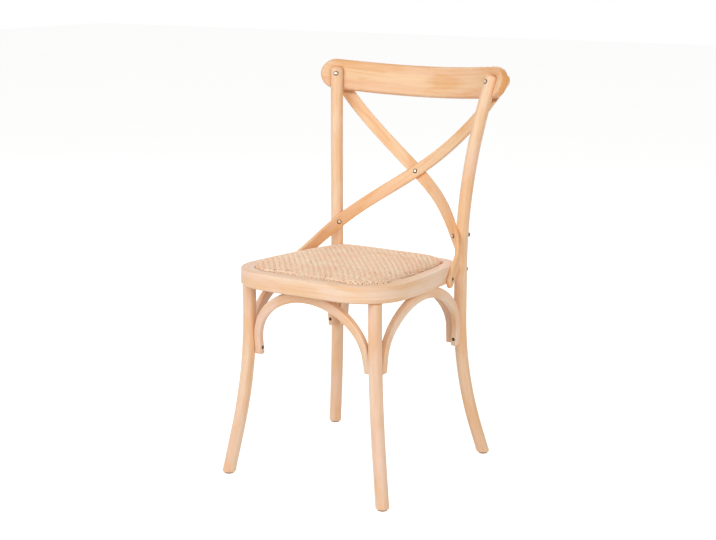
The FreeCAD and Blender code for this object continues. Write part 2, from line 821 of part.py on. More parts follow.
class Arch:
    def __init__(self, name, outward, first, last, shape):
        self.name = name
        self.outward = outward
        self.span = UP.cross(outward)
        lean = radians(f"{shape}_arch_lean")
        spring = size("arch_spring_height")
        gap = size("arch_gap")
        spring_left = self.leg_face(first, spring, 1) + gap
        spring_right = self.leg_face(last, spring, -1) - gap
        end_left = self.leg_face(first, first.arch_end, 1) + gap
        end_right = self.leg_face(last, last.arch_end, -1) - gap
        middle = (spring_left + spring_right) / 2
        depth = (first.point(spring).dot(outward) + last.point(spring).dot(outward)) / 2
        base = self.span * middle + outward * (depth - size(f"{shape}_arch_offset")) + UP * spring
        up = outward * math.sin(lean) + UP * math.cos(lean)
        self.place = Placement(base, Rotation(self.span, up, self.span.cross(up), "ZXY"))
        crown_height = under_ring(base.y)
        crown = base + up * ((crown_height - spring) / math.cos(lean))
        self.rise = (under_ring(crown.y) - spring) / math.cos(lean)
        self.half_span = (spring_right - spring_left) / 2
        self.ends = (
            Vector(end_left - middle, (first.arch_end - spring) / math.cos(lean), 0),
            Vector(end_right - middle, (last.arch_end - spring) / math.cos(lean), 0),
        )

    def leg_face(self, leg, z, toward):
        """Place along the span of the side of a leg that faces the arch."""
        return leg.point(z).dot(self.span) + toward * leg.radius()

    def body(self):
        body = add_body(f"{self.name}_blank")
        sketch = add_sketch(body, f"{self.name}_outline")
        outer = self.half_span
        inner = outer - size("arch_end_thickness")
        thick = Vector(size("arch_end_thickness"), 0, 0)
        left, right = self.ends
        basket_arch(sketch, outer, self.rise + size("arch_crown_flat"))
        basket_arch(sketch, inner, self.rise - size("arch_crown_thickness"))
        corners_left = [
            Vector(-outer, 0, 0),
            left,
            left + thick,
            Vector(-inner, 0, 0),
        ]
        corners_right = [
            Vector(outer, 0, 0),
            right,
            right - thick,
            Vector(inner, 0, 0),
        ]
        for corners in (corners_left, corners_right):
            for start, end in zip(corners, corners[1:]):
                sketch.addGeometry(Part.LineSegment(start, end))
        pad = add_pad(body, f"{self.name}_pad", sketch, "Sizes.arch_depth", midplane=True)
        half = size("arch_depth") / 2
        rims = edges_where(pad, lambda e: edge_on_level(e, half) or edge_on_level(e, -half))
        add_fillet(body, f"{self.name}_rounding", pad, rims, "Sizes.arch_edge_round")
        body.Placement = self.place
        return body

    def leg_screws(self):
        screws = []
        for end, sign in zip(self.ends, (1, -1)):
            inner_end = end + Vector(sign * size("arch_end_thickness"), 0, 0)
            inner_spring = Vector(-sign * (self.half_span - size("arch_end_thickness")), 0, 0)
            along = unit(inner_spring - inner_end)
            into_arch = Vector(along.y, -along.x, 0) * sign
            point = inner_end + along * size("screw_end_distance")
            length = size("arch_end_thickness") + size("arch_gap") + size("screw_bite")
            outward = self.place.Rotation.multVec(into_arch)
            screws.append(Fastener("screw", self.place.multVec(point), outward, length))
        return screws

    def seat_screw(self):
        point = Vector(0, self.rise - size("arch_crown_thickness"), 0)
        length = size("arch_crown_thickness") + size("arch_gap") + size("screw_bite")
        outward = self.place.Rotation.multVec(Vector(0, -1, 0))
        return Fastener("screw", self.place.multVec(point), outward, length, size("crown_screw_seat"))


LEGS_RIGHT = (FRONT_LEGS["right"], REAR_POSTS["right"])
LEGS_LEFT = (REAR_POSTS["left"], FRONT_LEGS["left"])
LEGS_FRONT = (FRONT_LEGS["left"], FRONT_LEGS["right"])
LEGS_REAR = (REAR_POSTS["right"], REAR_POSTS["left"])
ARCHES = {
    "front_arch": Arch("front_arch", Vector(0, -1, 0), *LEGS_FRONT, "front"),
    "right_arch": Arch("right_arch", Vector(1, 0, 0), *LEGS_RIGHT, "side"),
    "rear_arch": Arch("rear_arch", Vector(0, 1, 0), *LEGS_REAR, "rear"),
    "left_arch": Arch("left_arch", Vector(-1, 0, 0), *LEGS_LEFT, "side"),
}


# Every fastener of the chair

CREST_SCREWS = {name: crest_screw(post) for name, post in REAR_POSTS.items()}
SLAT_BOLTS = {name: slat_bolt(post) for name, post in REAR_POSTS.items()}
SEAT_BOLTS = {name: seat_bolt(post) for name, post in REAR_POSTS.items()}
CROSS_SCREW = cross_screw()
SLAT_TOP_SCREWS = {name: slat_top_screw(slat) for name, slat in SLATS.items()}
SLAT_END_SCREWS = {name: slat_end_screw(slat) for name, slat in SLATS.items()}
ARCH_LEG_SCREWS = {name: arch.leg_screws() for name, arch in ARCHES.items()}
ARCH_SEAT_SCREWS = {name: arch.seat_screw() for name, arch in ARCHES.items()}


def base_screw(side_of_seat, sign, spread):
    """From under the ledge of the ring into the panel, off the middle of one side."""
    centre, radius = side_of_seat
    reach = radius - size("rim_width") - size("ledge_width") / 2
    y = centre.y + sign * math.sqrt(reach ** 2 - spread ** 2)
    point = SEAT_PLACE.multVec(Vector(spread, y, -size("ring_thickness")))
    length = size("ring_thickness") - size("rebate_depth") + size("base_screw_bite")
    return Fastener("screw", point, SEAT_PLACE.Rotation.multVec(UP * -1), length)


SPREAD = size("base_screw_spread")
BASE_SCREWS = [
    base_screw(FRONT_SIDE, -1, -SPREAD),
    base_screw(FRONT_SIDE, -1, SPREAD),
    base_screw(BACK_SIDE, 1, SPREAD),
    base_screw(BACK_SIDE, 1, -SPREAD),
]


def glide(leg):
    foot = leg.point(size("glide_head_height"))
    return Fastener("glide", foot, UP * -1, size("glide_pin_length"))


LEGS = {f"front_leg_{name}": leg for name, leg in FRONT_LEGS.items()}
POSTS = {f"rear_post_{name}": post for name, post in REAR_POSTS.items()}
GLIDES = {name: glide(leg) for name, leg in {**LEGS, **POSTS}.items()}
ARCH_SCREWS_OF_LEG = {
    "front_leg_right": [ARCH_LEG_SCREWS["front_arch"][1], ARCH_LEG_SCREWS["right_arch"][0]],
    "front_leg_left": [ARCH_LEG_SCREWS["front_arch"][0], ARCH_LEG_SCREWS["left_arch"][1]],
    "rear_post_right": [ARCH_LEG_SCREWS["rear_arch"][0], ARCH_LEG_SCREWS["right_arch"][1]],
    "rear_post_left": [ARCH_LEG_SCREWS["rear_arch"][1], ARCH_LEG_SCREWS["left_arch"][0]],
}


# Bent rods: round sections that are turned about the centre of a bend or pushed along a straight
# stretch. Every bend lies in one upright plane through the axis of the rod.


def add_section(body, name, place, diameter_name, centre=Vector(0, 0, 0)):
    sketch = add_sketch(body, name, "XY_Plane", place)
    expression = f"Sizes.{diameter_name} / 2"
    add_circle(sketch, f"{name}_radius", centre, size(diameter_name) / 2, expression)
    return sketch


def add_bend(body, name, axis, direction, height, radius_name, turn, upwards, diameter_name):
    """Ring segment that starts level at a height and turns towards a direction."""
    radius = size(radius_name)
    angle = math.degrees(math.atan2(direction.y, direction.x))
    centre = axis + direction * radius + UP * height
    place = Placement(centre, Rotation(UP, angle))
    sketch = add_section(body, f"{name}_section", place, diameter_name, Vector(-radius, 0, 0))
    segment = body.newObject("PartDesign::Revolution", name)
    segment.Profile = sketch
    segment.ReferenceAxis = (sketch, ["V_Axis"])
    segment.Angle = math.degrees(turn)
    segment.Reversed = not upwards
    body.Tip = segment
    doc.recompute()
    return segment


def straight_foot(body, name, leg, bend_top, radius_name, turn, diameter_name):
    """Straight end of a leg from the end of its bend to below the floor."""
    radius = size(radius_name)
    height = size(bend_top) - radius * math.sin(turn)
    along = leg.outward * math.sin(turn) - UP * math.cos(turn)
    place = Placement(leg.point(height), Rotation(UP, along))
    section = add_section(body, f"{name}_section", place, diameter_name)
    pad = body.newObject("PartDesign::Pad", name)
    pad.Profile = section
    pad.Length = (height + size("foot_overrun")) / math.cos(turn)
    body.Tip = pad
    doc.recompute()
    return pad


def level_foot(body, name, foot):
    """Cuts the foot level just above its glide and breaks the sharp edge."""
    cut = add_sketch(body, f"{name}_floor", "XY_Plane", Placement(UP * size("glide_head_height"), Rotation()))
    centre = Vector(foot.x, foot.y, 0)
    add_circle(cut, f"{name}_floor_radius", centre, size("post_diameter"), "Sizes.post_diameter")
    pocket = body.newObject("PartDesign::Pocket", f"{name}_level")
    pocket.Profile = cut
    pocket.setExpression("Length", "Sizes.foot_overrun * 2")
    body.Tip = pocket
    doc.recompute()
    level = size("glide_head_height")
    rims = edges_where(pocket, lambda edge: edge_on_level(edge, level))
    chamfer = body.newObject("PartDesign::Chamfer", f"{name}_chamfer")
    chamfer.Base = (pocket, rims)
    chamfer.setExpression("Size", "Sizes.foot_chamfer")
    body.Tip = chamfer
    doc.recompute()
    return chamfer


for name, leg in LEGS.items():
    body = add_body(f"{name}_rod")
    turn = radians("front_splay")
    bend_top = Placement(leg.axis + UP * size("front_bend_top"), Rotation())
    upper = add_section(body, f"{name}_upper_section", bend_top, "front_leg_diameter")
    pad = body.newObject("PartDesign::Pad", f"{name}_upper")
    pad.Profile = upper
    pad.Length = leg.top - size("front_bend_top")
    body.Tip = pad
    doc.recompute()
    add_bend(
        body, f"{name}_bend", leg.axis, leg.outward, size("front_bend_top"),
        "front_bend_radius", turn, False, "front_leg_diameter",
    )
    straight_foot(body, f"{name}_lower", leg, "front_bend_top", "front_bend_radius", turn, "front_leg_diameter")
    rod = level_foot(body, name, leg.point(size("glide_head_height")))
    shoulder = edges_where(rod, lambda edge: edge_on_level(edge, leg.top))
    chamfer = body.newObject("PartDesign::Chamfer", f"{name}_shoulder")
    chamfer.Base = (rod, shoulder)
    chamfer.setExpression("Size", "Sizes.leg_shoulder_chamfer")
    body.Tip = chamfer
    doc.recompute()
    top = Placement(leg.axis + UP * leg.top, Rotation())
    tenon = add_section(body, f"{name}_tenon_outline", top, "tenon_diameter")
    add_pad(body, f"{name}_tenon", tenon, "Sizes.tenon_length")
    screws = ARCH_SCREWS_OF_LEG[name] + [GLIDES[name]]
    finish(name, body, drill_list(screws, name))


def add_lap_notch(post, name):
    """Box behind the post where its back is cut flat against the floor of the crest rail's recess."""
    reach = size("lap_depth") - size("lap_clearance")
    half = size("crest_depth") / 2 + size("lap_clearance")
    notch = doc.addObject("Part::Box", f"{name}_notch")
    notch.setExpression("Length", "Sizes.post_diameter * 2")
    notch.setExpression("Width", "Sizes.post_diameter")
    notch.setExpression("Height", "Sizes.crest_depth * 2")
    corner = Vector(-size("post_diameter"), reach, -half)
    lap = lap_place(post)
    back = lap.Rotation.multVec(Vector(0, 1, 0))
    up = crest_direction(0, 0, 1)
    up = unit(up - back * up.dot(back))
    frame = Placement(lap.Base, Rotation(back.cross(up), back, up, "ZYX"))
    notch.Placement = frame.multiply(Placement(corner, Rotation()))
    return notch


for name, post in POSTS.items():
    body = add_body(f"{name}_rod")
    start = Placement(post.axis + UP * size("post_foot_bend_top"), Rotation())
    section = add_section(body, f"{name}_middle_section", start, "post_diameter")
    add_pad(body, f"{name}_middle", section, "Sizes.post_back_bend_start - Sizes.post_foot_bend_top")
    turn = radians("post_foot_splay")
    add_bend(
        body, f"{name}_foot_bend", post.axis, post.outward, size("post_foot_bend_top"),
        "post_foot_bend_radius", turn, False, "post_diameter",
    )
    straight_foot(body, f"{name}_foot", post, "post_foot_bend_top", "post_foot_bend_radius", turn, "post_diameter")
    rod = level_foot(body, name, post.point(size("glide_head_height")))
    rise = size("crest_height") - size("post_back_bend_start")
    turn = math.asin(rise / size("post_back_bend_radius")) + POST_TOP_RISE / size("post_back_bend_radius")
    rod = add_bend(
        body, f"{name}_back_bend", post.axis, post.backward, size("post_back_bend_start"),
        "post_back_bend_radius", turn, True, "post_diameter",
    )
    tip = post.point(size("post_back_bend_start") + size("post_back_bend_radius") * math.sin(turn))
    top_rim = edges_where(rod, lambda edge: edge_round(edge, tip))
    add_fillet(body, f"{name}_top_rounding", rod, top_rim, "Sizes.post_top_round")
    side = "right" if post.side == RIGHT else "left"
    screws = ARCH_SCREWS_OF_LEG[name] + [GLIDES[name], CREST_SCREWS[side]]
    screws += [SLAT_BOLTS[side], SEAT_BOLTS[side]]
    cuts = drill_list(screws, name) + [add_lap_notch(post, name), SLAT_BOLTS[side].nut_seat(name)]
    finish(name, body, cuts)


# Seat: ring with a rebate and a ledge, base panel, woven rattan


def add_outline_pocket(body, name, inset_names, depth_expression):
    sketch = add_sketch(body, f"{name}_outline")
    draw_seat_outline(sketch, inset_names)
    pocket = body.newObject("PartDesign::Pocket", name)
    pocket.Profile = sketch
    pocket.setExpression("Length", depth_expression)
    body.Tip = pocket
    doc.recompute()
    return pocket


def add_outline_pad(body, name, inset_names, bottom, expression):
    """Slab with the outline of the seat, standing on a level below the top of the ring."""
    sketch = add_sketch(body, f"{name}_outline", "XY_Plane", Placement(UP * -bottom, Rotation()))
    draw_seat_outline(sketch, inset_names)
    return add_pad(body, name, sketch, expression)


ring = add_body("seat_ring_blank")
pad = add_outline_pad(ring, "ring_pad", [], size("ring_thickness"), "Sizes.ring_thickness")
rims = edges_where(pad, lambda e: edge_on_level(e, 0) or edge_on_level(e, -size("ring_thickness")))
rounded = add_fillet(ring, "ring_rounding", pad, rims, "Sizes.ring_edge_round")
rebate = add_outline_pocket(ring, "ring_rebate", ["rim_width"], "Sizes.rebate_depth")
inner = edges_where(rebate, lambda e: edge_on_level(e, 0) and is_fresh(e, rounded))
softened = add_fillet(ring, "rebate_rounding", rebate, inner, "Sizes.rebate_edge_round")
add_outline_pocket(ring, "ring_opening", ["rim_width", "ledge_width"], "Sizes.ring_thickness * 2")
ring.Placement = SEAT_PLACE


def tenon_socket(name, leg):
    """Round hole in the underside of the ring for the tenon of a front leg."""
    socket = doc.addObject("Part::Cylinder", f"{name}_socket")
    socket.setExpression("Radius", "Sizes.tenon_diameter / 2 + Sizes.tenon_clearance")
    socket.setExpression("Height", "Sizes.tenon_length + Sizes.tenon_clearance * 2 + Sizes.hole_overrun")
    socket.Placement = Placement(leg.axis + UP * (leg.top - size("hole_overrun")), Rotation())
    return socket


ring_screws = list(SEAT_BOLTS.values()) + list(SLAT_END_SCREWS.values())
ring_screws += list(ARCH_SEAT_SCREWS.values()) + BASE_SCREWS
ring_cuts = drill_list(ring_screws, "seat_ring")
ring_cuts += [tenon_socket(name, leg) for name, leg in LEGS.items()]
finish("seat_ring", ring, ring_cuts)

INNER = ["rim_width", "panel_clearance"]
panel = add_body("seat_base_panel_blank")
add_outline_pad(panel, "panel_slab", INNER, size("rebate_depth"), "Sizes.panel_thickness")
panel.Placement = SEAT_PLACE
finish("seat_base_panel", panel, drill_list(BASE_SCREWS, "seat_base_panel"))

rattan = add_body("rattan_slab_body")
rattan_bottom = size("rebate_depth") - size("panel_thickness")
rattan_height = "Sizes.rebate_depth - Sizes.panel_thickness + Sizes.rattan_crown"
add_outline_pad(rattan, "rattan_slab", INNER, rattan_bottom, rattan_height)
crown = doc.addObject("Part::Sphere", "rattan_crown_ball")
crown_reach = (size("seat_front_reach") + size("seat_back_reach")) / 2 - size("rim_width")
crown_radius = (crown_reach ** 2 + size("rattan_crown") ** 2) / (2 * size("rattan_crown"))
crown.Radius = crown_radius
crown_middle = (size("seat_back_reach") - size("seat_front_reach")) / 2
crown_top = size("rattan_crown") - size("rattan_edge_drop")
crown.Placement = Placement(Vector(0, crown_middle, crown_top - crown_radius), Rotation())
rattan_block = doc.addObject("Part::Common", "rattan_block")
rattan_block.Base = rattan
rattan_block.Tool = crown
doc.recompute()
lowest = size("panel_thickness") - size("rebate_depth")
rattan_seat = doc.addObject("Part::Fillet", "rattan_seat")
rattan_seat.Base = rattan_block
rattan_seat.Edges = [
    (i, size("rattan_edge_round"), size("rattan_edge_round"))
    for i, edge in enumerate(rattan_block.Shape.Edges, 1)
    if is_upper_rim(edge, lowest)
]
doc.recompute()
rattan_seat.Placement = SEAT_PLACE
finish("rattan_seat", rattan_seat)


# Arches


def crown_cut(name):
    """Everything above the underside of the ring, so that the crown of an arch fits flat to it."""
    box = doc.addObject("Part::Box", f"{name}_crown_cut")
    box.setExpression("Length", "Sizes.seat_front_width * 2")
    box.setExpression("Width", "Sizes.seat_front_width * 2")
    box.setExpression("Height", "Sizes.ring_thickness")
    half = size("seat_front_width")
    corner = Vector(-half, -half, -size("ring_thickness") - size("arch_gap"))
    box.Placement = SEAT_PLACE.multiply(Placement(corner, Rotation()))
    return box


for name, arch in ARCHES.items():
    screws = ARCH_LEG_SCREWS[name] + [ARCH_SEAT_SCREWS[name]]
    finish(name, arch.body(), drill_list(screws, name) + [crown_cut(name)])


# Crest rail


def annular_sector(sketch, inner_radius, outer_radius, half_angle):
    """Plan of the board: two arcs about a centre in front of it, closed at both ends."""
    centre = Vector(0, -size("crest_radius"), 0)
    first = math.pi / 2 - half_angle
    last = math.pi / 2 + half_angle
    front = sketch.addGeometry(Part.ArcOfCircle(Part.Circle(centre, UP, inner_radius), first, last))
    back = sketch.addGeometry(Part.ArcOfCircle(Part.Circle(centre, UP, outer_radius), first, last))
    for angle in (first, last):
        start = centre + polar(inner_radius, angle)
        end = centre + polar(outer_radius, angle)
        sketch.addGeometry(Part.LineSegment(start, end))
    bind_radius(sketch, front, "front_radius", inner_radius, "Sizes.crest_radius")
    bind_radius(sketch, back, "back_radius", outer_radius, "Sizes.crest_radius + Sizes.crest_thickness")


def recess(post, name):
    """Recess in the front of the crest rail, with a flat floor behind the post and flared sides."""
    body = add_body(f"{name}_recess")
    sketch = add_sketch(body, f"{name}_recess_outline")
    depth = size("lap_depth")
    radius = size("post_diameter") / 2
    sag = (size("crest_depth") / 2) ** 2 / (2 * size("post_back_bend_radius"))
    floor = math.sqrt(radius ** 2 - (depth - sag) ** 2) + size("lap_clearance")
    flare = radius + size("recess_flare") - floor
    add_polyline(sketch, [
        Vector(-floor, depth, 0),
        Vector(floor, depth, 0),
        Vector(floor + flare * 2, -depth, 0),
        Vector(-floor - flare * 2, -depth, 0),
    ])
    add_pad(body, f"{name}_recess_pad", sketch, "Sizes.crest_depth * 2", midplane=True)
    body.Placement = lap_place(post)
    return body


crest = add_body("crest_rail_blank")
plan = add_sketch(crest, "crest_plan")
annular_sector(plan, size("crest_radius"), size("crest_radius") + size("crest_thickness"), CREST_HALF_ANGLE)
board = add_pad(crest, "crest_board", plan, "Sizes.crest_depth", midplane=True)
ends = edges_where(board, is_end_corner)
rounded_ends = add_fillet(crest, "crest_ends", board, ends, "Sizes.crest_depth / 2 - Sizes.lap_clearance")
rim = edges_where(rounded_ends, lambda edge: not is_end_corner(edge) and is_face_rim(edge))
add_fillet(crest, "crest_rounding", rounded_ends, rim, "Sizes.crest_edge_round")
crest.Placement = CREST_PLACE
crest_drills = list(CREST_SCREWS.values()) + list(SLAT_TOP_SCREWS.values())
recesses = [recess(post, name) for name, post in POSTS.items()]
finish("crest_rail", crest, drill_list(crest_drills, "crest_rail") + recesses)


# Crossed slats


def post_hollow(post, name):
    """Straight cylinder along the post, which hollows the slat where the two cross."""
    hollow = doc.addObject("Part::Cylinder", f"{name}_hollow")
    hollow.setExpression("Radius", "Sizes.post_diameter / 2 + Sizes.slat_post_clearance")
    hollow.setExpression("Height", "Sizes.slat_hollow_length")
    height = size("slat_bolt_height")
    along = post.direction(height)
    start = post.point(height) - along * (size("slat_hollow_length") / 2)
    hollow.Placement = Placement(start, Rotation(UP, along))
    return hollow


SLAT_BOLT_SIDE = {"cross_slat_front": "left", "cross_slat_rear": "right"}
for name, slat in SLATS.items():
    strip = doc.addObject("Part::Feature", f"{name}_strip")
    strip.Shape = slat.solid()
    side = SLAT_BOLT_SIDE[name]
    screws = [SLAT_TOP_SCREWS[name], CROSS_SCREW, SLAT_BOLTS[side], SLAT_END_SCREWS[name]]
    finish(name, strip, drill_list(screws, name) + [post_hollow(REAR_POSTS[side], name)])


# Groups of equal fasteners


def solids(fasteners):
    return [fastener.solid() for fastener in fasteners]


finish_group("crest_screws", solids(CREST_SCREWS.values()))
finish_group("cross_screw", solids([CROSS_SCREW]))
finish_group("slat_bolts", solids(SLAT_BOLTS.values()))
finish_group("slat_bolt_nuts", [bolt.nut() for bolt in SLAT_BOLTS.values()])
finish_group("seat_bolts", solids(SEAT_BOLTS.values()))
finish_group("slat_end_screws", solids(SLAT_END_SCREWS.values()))
finish_group("slat_top_screws", solids(SLAT_TOP_SCREWS.values()))
finish_group("arch_leg_screws", solids(s for pair in ARCH_LEG_SCREWS.values() for s in pair))
finish_group("arch_seat_screws", solids(ARCH_SEAT_SCREWS.values()))
finish_group("seat_base_screws", solids(BASE_SCREWS))
finish_group("foot_glides", solids(GLIDES.values()))

doc.recompute()

for obj in doc.Objects:
    if "Invalid" in obj.State or "Error" in obj.State:
        raise RuntimeError(f"{obj.Label} is not sound: {obj.State}")
for piece in SUBPARTS:
    if piece.Shape.isNull() or not piece.Shape.isValid():
        raise RuntimeError(f"{piece.Label} has no valid shape")

os.makedirs("parts", exist_ok=True)
for piece in SUBPARTS:
    piece.Shape.exportStep(f"parts/{piece.Label}.step")
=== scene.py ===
import math

import bmesh
import bpy
import numpy as np
from mathutils import Matrix, Vector


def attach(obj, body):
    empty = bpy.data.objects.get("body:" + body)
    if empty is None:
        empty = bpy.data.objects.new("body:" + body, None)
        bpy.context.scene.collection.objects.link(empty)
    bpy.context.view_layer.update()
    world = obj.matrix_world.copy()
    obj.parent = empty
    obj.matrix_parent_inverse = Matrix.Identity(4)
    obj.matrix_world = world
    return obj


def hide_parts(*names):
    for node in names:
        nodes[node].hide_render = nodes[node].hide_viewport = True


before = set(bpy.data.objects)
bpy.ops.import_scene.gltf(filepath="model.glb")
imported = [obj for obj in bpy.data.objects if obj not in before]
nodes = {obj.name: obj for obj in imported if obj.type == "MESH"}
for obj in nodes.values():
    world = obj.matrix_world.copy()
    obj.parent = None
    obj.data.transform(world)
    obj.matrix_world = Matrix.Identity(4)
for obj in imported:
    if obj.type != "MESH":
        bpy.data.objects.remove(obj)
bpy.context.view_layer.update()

# Metres. The chair was laid out on its seat datum, which lies this far from the origin along Y.
DATUM_Y = -0.0312
WELD = 1e-6
SHARP_ANGLE = math.radians(32)

# Seat outline, as in the source of the part
SEAT_FRONT_HALF = 0.195
SEAT_BACK_HALF = 0.166
SEAT_FRONT_REACH = 0.221
SEAT_BACK_REACH = 0.1705
SEAT_BOWS = (0.0095, 0.016, 0.0065, 0.016)
SEAT_CORNER_RADII = (0.105, 0.105, 0.071, 0.071)
SEAT_HEIGHT = 0.4667
SEAT_TILT = math.radians(1.8)
RIM_WIDTH = 0.030
RING_BAND = 0.042
RING_THICKNESS = 0.036
BACK_WEIGHT = 10

# Legs and posts: places, heights and number of points of each path, bearings, radius and angle of bends
FRONT_LEG_X = 0.16176
FRONT_LEG_Y = -0.17938
FRONT_LEG_HEIGHTS = (-0.02, 0.48, 60)
FRONT_LEG_BEARING = 50
FRONT_LEG_BEND_START = 0.376
FRONT_LEG_BEND = (1.25, math.radians(12.4))
REAR_POST_X = 0.16663
REAR_POST_Y = 0.16538
REAR_POST_HEIGHTS = (-0.02, 0.90, 100)
POST_FOOT_BEARING = 41
POST_FOOT_BEND_START = 0.3346
POST_FOOT_BEND = (0.907, math.radians(17.4))
POST_BACK_BEARING = 33.5
POST_BACK_BEND_START = 0.442
POST_BACK_BEND = (1.276, math.pi / 2)

# Arches under the seat
ARCH_SPRING = 0.300
ARCH_FOOT = 0.05
ARCH_HALF_THICKNESS = 0.0085
ARCH_SHOULDER_SHARE = 1.05
ARCH_SHOULDER_LIMIT = 0.95
ARC_POINTS = 14


def bearing(side, end, degrees):
    """Level direction at an angle from the Y axis: side and end are its signs along X and Y."""
    angle = math.radians(degrees)
    return np.array([side * math.sin(angle), end * math.cos(angle), 0.0])


def bend(reach, radius, splay):
    """Sideways shift of a bent rod at a height away from the start of its bend."""
    if reach <= 0:
        return 0.0
    arc_reach = radius * math.sin(splay)
    if reach >= arc_reach:
        return radius * (1 - math.cos(splay)) + (reach - arc_reach) * math.tan(splay)
    return radius - math.sqrt(radius ** 2 - reach ** 2)


def front_leg_path(side):
    axis = np.array([side * FRONT_LEG_X, FRONT_LEG_Y + DATUM_Y, 0.0])
    outward = bearing(side, -1, FRONT_LEG_BEARING)
    heights = np.linspace(*FRONT_LEG_HEIGHTS)
    shifts = [bend(FRONT_LEG_BEND_START - z, *FRONT_LEG_BEND) for z in heights]
    return np.array([axis + outward * s + [0, 0, z] for z, s in zip(heights, shifts)])


def rear_post_path(side):
    axis = np.array([side * REAR_POST_X, REAR_POST_Y + DATUM_Y, 0.0])
    outward = bearing(side, 1, POST_FOOT_BEARING)
    backward = bearing(side, 1, POST_BACK_BEARING)
    points = []
    for z in np.linspace(*REAR_POST_HEIGHTS):
        foot = bend(POST_FOOT_BEND_START - z, *POST_FOOT_BEND)
        back = bend(z - POST_BACK_BEND_START, *POST_BACK_BEND)
        points.append(axis + outward * foot + backward * back + [0, 0, z])
    return np.array(points)


def seat_point(points):
    """Points given on the seat's own tilted plane, moved to the chair's frame."""
    points = np.asarray(points, float)
    x, y, z = points[:, 0], points[:, 1], points[:, 2]
    base = SEAT_HEIGHT - SEAT_FRONT_REACH * math.tan(SEAT_TILT)
    return np.stack([
        x,
        y * math.cos(SEAT_TILT) + z * math.sin(SEAT_TILT) + DATUM_Y,
        base + z * math.cos(SEAT_TILT) - y * math.sin(SEAT_TILT),
    ], axis=1)


def seat_sides():
    """Corners of the seat, and the centre and radius of each bowed side between them."""
    front, back = (SEAT_FRONT_HALF, -SEAT_FRONT_REACH), (SEAT_BACK_HALF, SEAT_BACK_REACH)
    corners = np.array([(-front[0], front[1]), front, back, (-back[0], back[1])])
    sides = []
    for start, end, bow in zip(corners, np.roll(corners, -1, axis=0), SEAT_BOWS):
        chord = end - start
        length = np.linalg.norm(chord)
        outward = np.array([chord[1], -chord[0]]) / length
        radius = (length ** 2 / 4 + bow ** 2) / (2 * bow)
        sides.append(((start + end) / 2 - outward * (radius - bow), radius))
    return corners, sides


def corner_centre(corner, radius, before, after):
    """Centre of the round corner that joins two bowed sides."""
    (one, radius_one), (two, radius_two) = before, after
    reach_one, reach_two = radius_one - radius, radius_two - radius
    distance = np.linalg.norm(two - one)
    along = (reach_one ** 2 - reach_two ** 2 + distance ** 2) / (2 * distance)
    across = math.sqrt(reach_one ** 2 - along ** 2)
    forward = (two - one) / distance
    sideways = np.array([-forward[1], forward[0]])
    choices = [one + forward * along + sideways * across * sign for sign in (1, -1)]
    return min(choices, key=lambda choice: np.linalg.norm(choice - corner))


def seat_outline(inset, step=0.004):
    """Closed outline on the seat's plane: four bowed sides and four rounded corners."""
    corners, sides = seat_sides()
    centres = []
    for i in range(4):
        centres.append(corner_centre(corners[i], SEAT_CORNER_RADII[i], sides[i - 1], sides[i]))
    outline = []
    for i in range(4):
        corner, (side, side_radius) = centres[i], sides[i]
        before, after = corner - sides[i - 1][0], corner - side
        last = centres[(i + 1) % 4] - side
        spans = [
            (corner, SEAT_CORNER_RADII[i] - inset, before, after),
            (side, side_radius - inset, after, last),
        ]
        for centre, radius, first_ray, last_ray in spans:
            first = math.atan2(first_ray[1], first_ray[0])
            turn = (math.atan2(last_ray[1], last_ray[0]) - first) % (2 * math.pi)
            count = max(3, int(radius * turn / step))
            for k in range(count):
                angle = first + turn * k / count
                outline.append(centre + radius * np.array([math.cos(angle), math.sin(angle)]))
    return np.array(outline)


def ring_path():
    """Middle line of the ring, from the middle of its back."""
    outline = seat_outline(RING_BAND / 2)
    back = int(np.argmin(np.abs(outline[:, 0]) - outline[:, 1] * BACK_WEIGHT))
    outline = np.roll(outline, -back, axis=0)
    level = np.full((len(outline), 1), -RING_THICKNESS / 2)
    return seat_point(np.hstack([outline, level]))


def basket_arch(half_span, rise):
    """Three-centred arch from its right end over its crown to its left end."""
    shoulder = min(ARCH_SHOULDER_SHARE * rise ** 2 / half_span, rise * ARCH_SHOULDER_LIMIT)
    offset = half_span - shoulder
    crown = (offset ** 2 + rise ** 2 - shoulder ** 2) / (2 * (rise - shoulder))
    drop = crown - rise
    turn = math.atan2(drop, offset)
    arcs = [
        (offset, 0.0, shoulder, 0.0, turn),
        (0.0, -drop, crown, turn, math.pi - turn),
        (-offset, 0.0, shoulder, math.pi - turn, math.pi),
    ]
    points = []
    for x, y, radius, first, last in arcs:
        for angle in np.linspace(first, last, ARC_POINTS)[:-1]:
            points.append((x + radius * math.cos(angle), y + radius * math.sin(angle)))
    return points + [(-half_span, 0.0)]


def arch_path(outward, depth, middle, half_span, rise, lean):
    """Middle line of an arch: its plane leans outwards as it goes up."""
    outward = np.array([*outward, 0.0])
    span = np.cross([0, 0, 1], outward)
    lean = math.radians(lean)
    up = outward * math.sin(lean) + np.array([0, 0, math.cos(lean)])
    base = outward * depth + span * middle + [0, DATUM_Y, ARCH_SPRING]
    half_span -= ARCH_HALF_THICKNESS
    points = basket_arch(half_span, rise - ARCH_HALF_THICKNESS)
    points = [(half_span, -ARCH_FOOT)] + points + [(-half_span, -ARCH_FOOT)]
    return np.array([base + span * x + up * y for x, y in points])


def hermite(points, tangents, count=20):
    """Smooth line through points with the given directions."""
    line = []
    for i in range(len(points) - 1):
        start, end = points[i], points[i + 1]
        length = np.linalg.norm(end - start)
        for t in np.linspace(0, 1, count, endpoint=i == len(points) - 2):
            line.append(
                (2 * t ** 3 - 3 * t ** 2 + 1) * start
                + (t ** 3 - 2 * t ** 2 + t) * length * tangents[i]
                + (3 * t ** 2 - 2 * t ** 3) * end
                + (t ** 3 - t ** 2) * length * tangents[i + 1]
            )
    return np.array(line)


